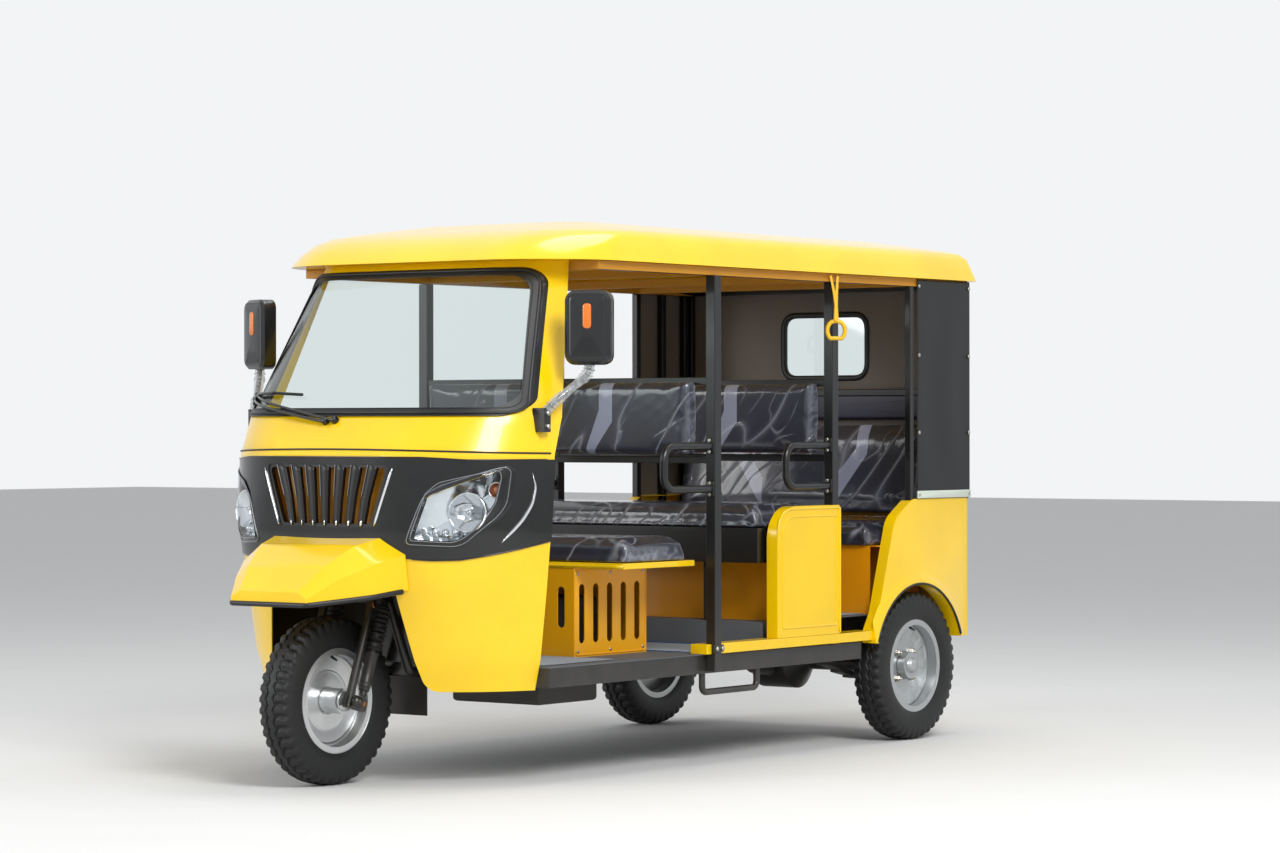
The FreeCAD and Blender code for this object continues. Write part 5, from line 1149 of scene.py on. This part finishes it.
# %% Rear wall, window rubber and tail lamps
window = box_outline(-190, 190, 1315, 1555, 58, 9, 15)
for name, y in (("rear_window_rubber", 2858.5), ("rear_window_rubber_inside", 2847.5)):
    dress(tube(name, at_y(y, window), 11, 14, 0.5, (0, 1, 0), loop=True), "seal_rubber")
for level in (1000, 1180, 1640):
    line = np.linspace((-620, 2858.2, level), (620, 2858.2, level), 60)
    dress(tube("rear_wall_seam_%d" % level, line, 2.4, 8), "curtain_black")
line = np.linspace((-622, 2859.5, 876), (622, 2859.5, 876), 40)
dress(tube("rear_wall_strip", line, 9, 10, 0.25, (0, 1, 0)), "wall_vinyl", "silver_strip")
LENS_ROWS = [(0, 33), (0, 36), (3, 38.5), (8, 39.5), (None, 40)]
for side, mark in SIDES:
    for name, low, high, finish in (("stop", 564, 622, None), ("indicator", 624, 668, "amber"),
                                    ("reversing", 670, 716, "silver_strip")):
        face = box_outline(516, 580, low, high, 8, 5, 8) * (side, 1)
        dress(plate("%s_%s_lens" % (mark, name), face, LENS_ROWS, facing("rear", 2848)), "lamp_red", finish)
print("rear dressed")


# %% [markdown]
# ## Cushions and seat backs
# A cushion is foam in a sewn cover: it crowns in the middle and is drawn in at its edges. Cloth simulation
# gives that shape. Each pad starts slightly smaller than its space, as a closed plate with rounded rims. It
# is remeshed to even squares and blown up a little under pressure with its underside held, and each
# point's move is capped. All pads are stepped together, so the frames are run only once.

# %% Pads before they are filled
SEAT_HALF = 575.0
VOXEL_MM = 11.0
HELD_MM = 4.0
PRESSURE = 4.0
PAD_STEPS = 20
REAR_LEAN = 9


def leaning(rear, base, lean):
    """A lay function for a back: across, up along the board, and forwards from its rear face."""
    cos, sin = math.cos(math.radians(lean)), math.sin(math.radians(lean))
    return lambda a, b, level: np.stack(np.broadcast_arrays(
        a, rear + b * sin - level * cos, base + b * cos + level * sin), -1)


def pad(name, low, high, thick, lay, reach, finish, slot="seat_vinyl"):
    """A closed plate with rounded corners: its rim turns over by the corners' reach in front, less behind."""
    outline = box_outline(-SEAT_HALF + low[0], SEAT_HALF - low[0], low[1], high, reach, 7, 30)
    soft = np.array([(0.4, 0), (0.12, 0.09), (0, 0.3)]) * reach
    crown = np.array([(0, 0.7), (0.09, 0.38), (0.3, 0.15), (0.6, 0.03), (1, 0)]) * reach
    rows = [(None, 0)] + soft.tolist() + [(inset, thick - drop) for inset, drop in crown] + [(None, thick)]
    return dress(plate(name, outline, rows, lay), slot, finish)


LEAN = math.radians(REAR_LEAN)
rear_back_foot = 2772.5 - 0.3 - (1125 - 787.9) * math.tan(LEAN)
PADS = (
    # name, low corner, high edge, thickness, where it lies, corner reach, finish, largest move
    ("driver_cushion_padded", (5, 821), 1177, 68, facing("up", 687.6), 34, None, 14),
    ("bench_cushion_padded", (5, 1565), 1940, 68, facing("up", 785.6), 34, None, 14),
    ("rear_cushion_padded", (5, 2267), 2687, 68, facing("up", 705.6), 34, None, 14),
    ("driver_back_padded", (4, 4), 258, 55, leaning(1227.2, 1030, 0), 18, "back_vinyl", 7),
    ("bench_back_padded", (4, 4), 258, 55, leaning(1962.2, 1030, 0), 18, "back_vinyl", 7),
    ("rear_back_padded", (16, 5), 358, 68, leaning(rear_back_foot, 787.9, REAR_LEAN), 24,
     "rear_back_vinyl", 10),
)
pads = {row[0]: (pad(*row[:-1]), row[-1]) for row in PADS}
print("pads:", len(pads))


# %% Filling the pads
def settled_mesh(piece):
    """The piece's mesh with its modifiers worked in, as its new mesh."""
    graph = bpy.context.evaluated_depsgraph_get()
    made = bpy.data.meshes.new_from_object(piece.evaluated_get(graph))
    piece.modifiers.clear()
    piece.data = made
    made.polygons.foreach_set("use_smooth", np.full(len(made.polygons), True))


def places(mesh, attribute="co"):
    """The place of each point of a mesh, or another vector of it, as one array."""
    made = np.empty(len(mesh.vertices) * 3, np.float32)
    mesh.vertices.foreach_get(attribute, made)
    return made.reshape(-1, 3)


def even_squares(piece):
    """A voxel remesh, so that the cloth's springs are all about as long."""
    remesh = piece.modifiers.new("even squares", "REMESH")
    remesh.mode = "VOXEL"
    remesh.voxel_size = VOXEL_MM * MM
    finish = piece.data.materials[0]
    settled_mesh(piece)
    piece.data.materials.clear()
    piece.data.materials.append(finish)


def under_pressure(piece, upright):
    """Cloth with pressure 4 and no weight; a cushion's underside, or a back's rear side, is held."""
    start = places(piece.data)
    level = start[:, 1] if upright else -start[:, 2]
    lean = start[:, 2] * math.tan(LEAN) if piece.name.startswith("rear_back") else 0.0
    level = level - lean
    held = piece.vertex_groups.new(name="held")
    held.add(np.flatnonzero(level > level.max() - HELD_MM * MM).tolist(), 1.0, "REPLACE")
    cloth = piece.modifiers.new("cloth", "CLOTH")
    cloth.settings.quality = 4
    cloth.settings.use_pressure = True
    cloth.settings.uniform_pressure_force = PRESSURE
    cloth.settings.vertex_group_mass = "held"
    cloth.settings.effector_weights.gravity = 0.0
    cloth.point_cache.frame_start = 1
    cloth.point_cache.frame_end = PAD_STEPS
    return start


for piece, cap in pads.values():
    even_squares(piece)
starts = {name: under_pressure(piece, "back" in name) for name, (piece, cap) in pads.items()}
for frame_number in range(1, PAD_STEPS + 1):
    bpy.context.scene.frame_set(frame_number)
graph = bpy.context.evaluated_depsgraph_get()
for name, (piece, cap) in pads.items():
    blown = places(piece.evaluated_get(graph).data)
    move = blown - starts[name]
    far = np.linalg.norm(move, axis=1, keepdims=True)
    kept = starts[name] + move * np.minimum(1.0, cap * MM / np.maximum(far, 1e-9))
    piece.modifiers.clear()
    piece.vertex_groups.clear()
    piece.data.vertices.foreach_set("co", kept.astype(np.float32).ravel())
    piece.data.update()
    print(name, "points:", len(kept), "largest move %.1f mm" % (far.max() / MM))
bpy.context.scene.frame_set(1)

# %% [markdown]
# The film over the covers draws into folds near the rims. They are too fine for the simulation's squares, so
# they are pushed out afterwards along the normals: folded sine waves that run across the rim, faded towards
# the flat parts. A subdivision smooths the result.

# %% Folds of the film
CUSHION_FOLD, BACK_FOLD, RIM_MM = 1.2, 0.9, 60


def folds(piece, height_mm, rim_mm):
    """move = height * fade(rim) * two waves (1 - |sin(k . p + 2 sin(j . p))|)^3, along the normals."""
    mesh = piece.data
    start, normals = places(mesh), places(mesh, "normal")
    low, high = start.min(0), start.max(0)
    flat_axes = [0, 1] if high[2] - low[2] < high[1] - low[1] else [0, 2]
    rim = np.minimum(start - low, high - start)[:, flat_axes].min(1) / MM
    fade = 0.25 + 0.75 * np.clip(1 - rim / rim_mm, 0, 1)
    x, y, z = start.T
    wave = 61 * x + 34 * y - 47 * z + 2.0 * np.sin(9 * x - 17 * y + 13 * z)
    cross = 38 * x - 52 * y + 41 * z + 2.0 * np.sin(11 * x + 8 * y - 15 * z)
    ridge = (1 - np.abs(np.sin(wave))) ** 3 + 0.7 * (1 - np.abs(np.sin(cross))) ** 3
    side = np.abs(normals[:, 1 if flat_axes == [0, 2] else 2])
    held = np.where(rim < 2, 0.6, 1.0) * np.where(side > 0.2, 1.0, 0.6)
    moved = start + normals * (height_mm * MM * fade * ridge * held)[:, None]
    mesh.vertices.foreach_set("co", moved.astype(np.float32).ravel())
    mesh.update()


for name, (piece, cap) in pads.items():
    folds(piece, CUSHION_FOLD if "cushion" in name else BACK_FOLD, RIM_MM)
    smooth = piece.modifiers.new("smooth", "SUBSURF")
    smooth.levels = smooth.render_levels = 1
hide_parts("seat_cushions")
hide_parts("seat_backs")

# %% [markdown]
# ## Curtains and headboard
# The side curtains are coated canvas, screwed at their edges, so they hang almost flat with slight ripples. A
# ripple is a sine across the sheet that grows towards its middle. A pale strip stiffens the lower edge.

# %% Curtains
CURTAIN_LOW, CURTAIN_HIGH, CURTAIN_FRONT, CURTAIN_REAR = 870.0, 1664.0, 2500.0, 2860.0


def curtain(side, mark):
    """x = 632.8 + 1.5 sin(across and down), faded to nothing at the four edges; the outside is black."""
    across, down = np.meshgrid(np.linspace(0, 1, 60), np.linspace(0, 1, 110))
    fade = np.sin(np.pi * down) * np.sin(np.pi * across) ** 0.5
    x = side * (632.8 + 1.5 * np.sin(across * 9 + 2.5 * np.sin(down * 3)) * fade)
    y = CURTAIN_FRONT + (CURTAIN_REAR - CURTAIN_FRONT) * across
    z = CURTAIN_HIGH + (CURTAIN_LOW - CURTAIN_HIGH) * down
    piece = new_mesh(mark + "_curtain_sheet", np.stack([x, y, z], -1), grid_faces(110, 60), closed=False)
    thicken(piece, 1.6, 0.0).material_offset = 1
    dress(piece, "curtain_black")
    piece.data.materials.append(finishes["wall_vinyl"])
    if side < 0:
        piece.data.materials[0], piece.data.materials[1] = finishes["wall_vinyl"], finishes["curtain_black"]
    return piece


for side, mark in SIDES:
    sheet = curtain(side, mark)
    strip = plate(mark + "_curtain_strip", box_outline(2497, 2862, 872, 899, 3, 6, 40),
                  [(None, -1), (0, -1), (0, 2.4), (1, 3), (None, 3)], facing(mark, 634.6))
    dress(strip, "curtain_black", "pale_strip")
    screw_places = [(side * 635.0, y, z) for y in (2508, 2850) for z in (885, 1110, 1390, 1640)]
    screws = round_heads(mark + "_curtain_screws", side, 7, 4.5, screw_places)
    dress(screws, "curtain_black", "bolt_zinc")
    if side > 0:
        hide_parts("curtains")

# %% Headboard on the rear wall
board = pad("rear_headboard", (14, 0), 92, 24, leaning(2847.5, 1160, 0), 12, "board_vinyl", "wall_vinyl")
bar = np.linspace((-600, 2838, 1264), (600, 2838, 1264), 12)
dress(tube("rear_wall_bar", bar, 9, 4), "frame_black")
print("soft pieces dressed")

# %% [markdown]
# ## Camera
# The photograph was taken from the vehicle's left front corner at about chest height, from some 12 metres
# away with a long lens. The camera's place was worked out from the wheels and the roof's edges.

# %% The photographer's place
camera_data = bpy.data.cameras.new("camera")
camera_data.sensor_width = 36.0
camera_data.lens = 102.66
camera = bpy.data.objects.new("camera", camera_data)
camera.location = spot((7696, -8701, 1140))
camera.rotation_euler = (math.radians(90 - 0.03), math.radians(0.06), math.radians(36.58))
bpy.context.scene.collection.objects.link(camera)
bpy.context.scene.camera = camera
print("camera at", [round(v, 2) for v in camera.location])

# %% [markdown]
# A plain pale floor, a pale world for what metal and glass mirror, and large soft lamps: a key from the
# picture's right as in daylight, a weaker fill from its left, and one from above. Their sum shows a colour
# about as it is written.

# %% Studio
scene = bpy.context.scene
scene.view_settings.view_transform = "Standard"
corners = [(-40000, -40000, 0), (40000, -40000, 0), (40000, 40000, 0), (-40000, 40000, 0)]
floor = new_mesh("studio_floor", corners, [(0, 1, 2, 3)], closed=False)
floor.data.materials.append(coated("pale_floor", "#e2e2e0", 0.8, 12.0, 0.1, drift=0.005))

world = bpy.data.worlds.new("studio_world")
world.use_nodes = True
scene.world = world
tree = world.node_tree
tree.nodes.clear()
rays = add(tree, "ShaderNodeLightPath").outputs
seen = maths(tree, "MAXIMUM", rays["Is Camera Ray"], rays["Is Glossy Ray"])
seen = maths(tree, "MAXIMUM", seen, rays["Is Transmission Ray"])
sky = add(tree, "ShaderNodeBackground", {"Color": linear("#f2f4f6"), "Strength": 1.0}).outputs[0]
soft = add(tree, "ShaderNodeBackground", {"Color": linear("#f4f6fa"), "Strength": 0.55}).outputs[0]
add(tree, "ShaderNodeOutputWorld", {"Surface": shader_mix(tree, seen, soft, sky)})

LAMPS = (
    # name, place in metres, aimed at, width, power
    ("key_lamp", (6.5, -4.0, 6.0), (0, 0, 0.8), 3.5, 540),
    ("fill_lamp", (-5.0, -8.0, 3.5), (0, -0.6, 0.9), 4.0, 260),
    ("top_lamp", (0.5, 1.5, 7.0), (0, 0, 1.0), 4.0, 140),
)
for name, where, aim, width, power in LAMPS:
    data = bpy.data.lights.new(name, "AREA")
    data.shape = "DISK"
    data.size = width
    data.energy = power
    lamp = bpy.data.objects.new(name, data)
    lamp.location = where
    lamp.rotation_euler = (Vector(aim) - Vector(where)).to_track_quat("-Z", "Y").to_euler()
    scene.collection.objects.link(lamp)
print("lamps:", len(LAMPS))
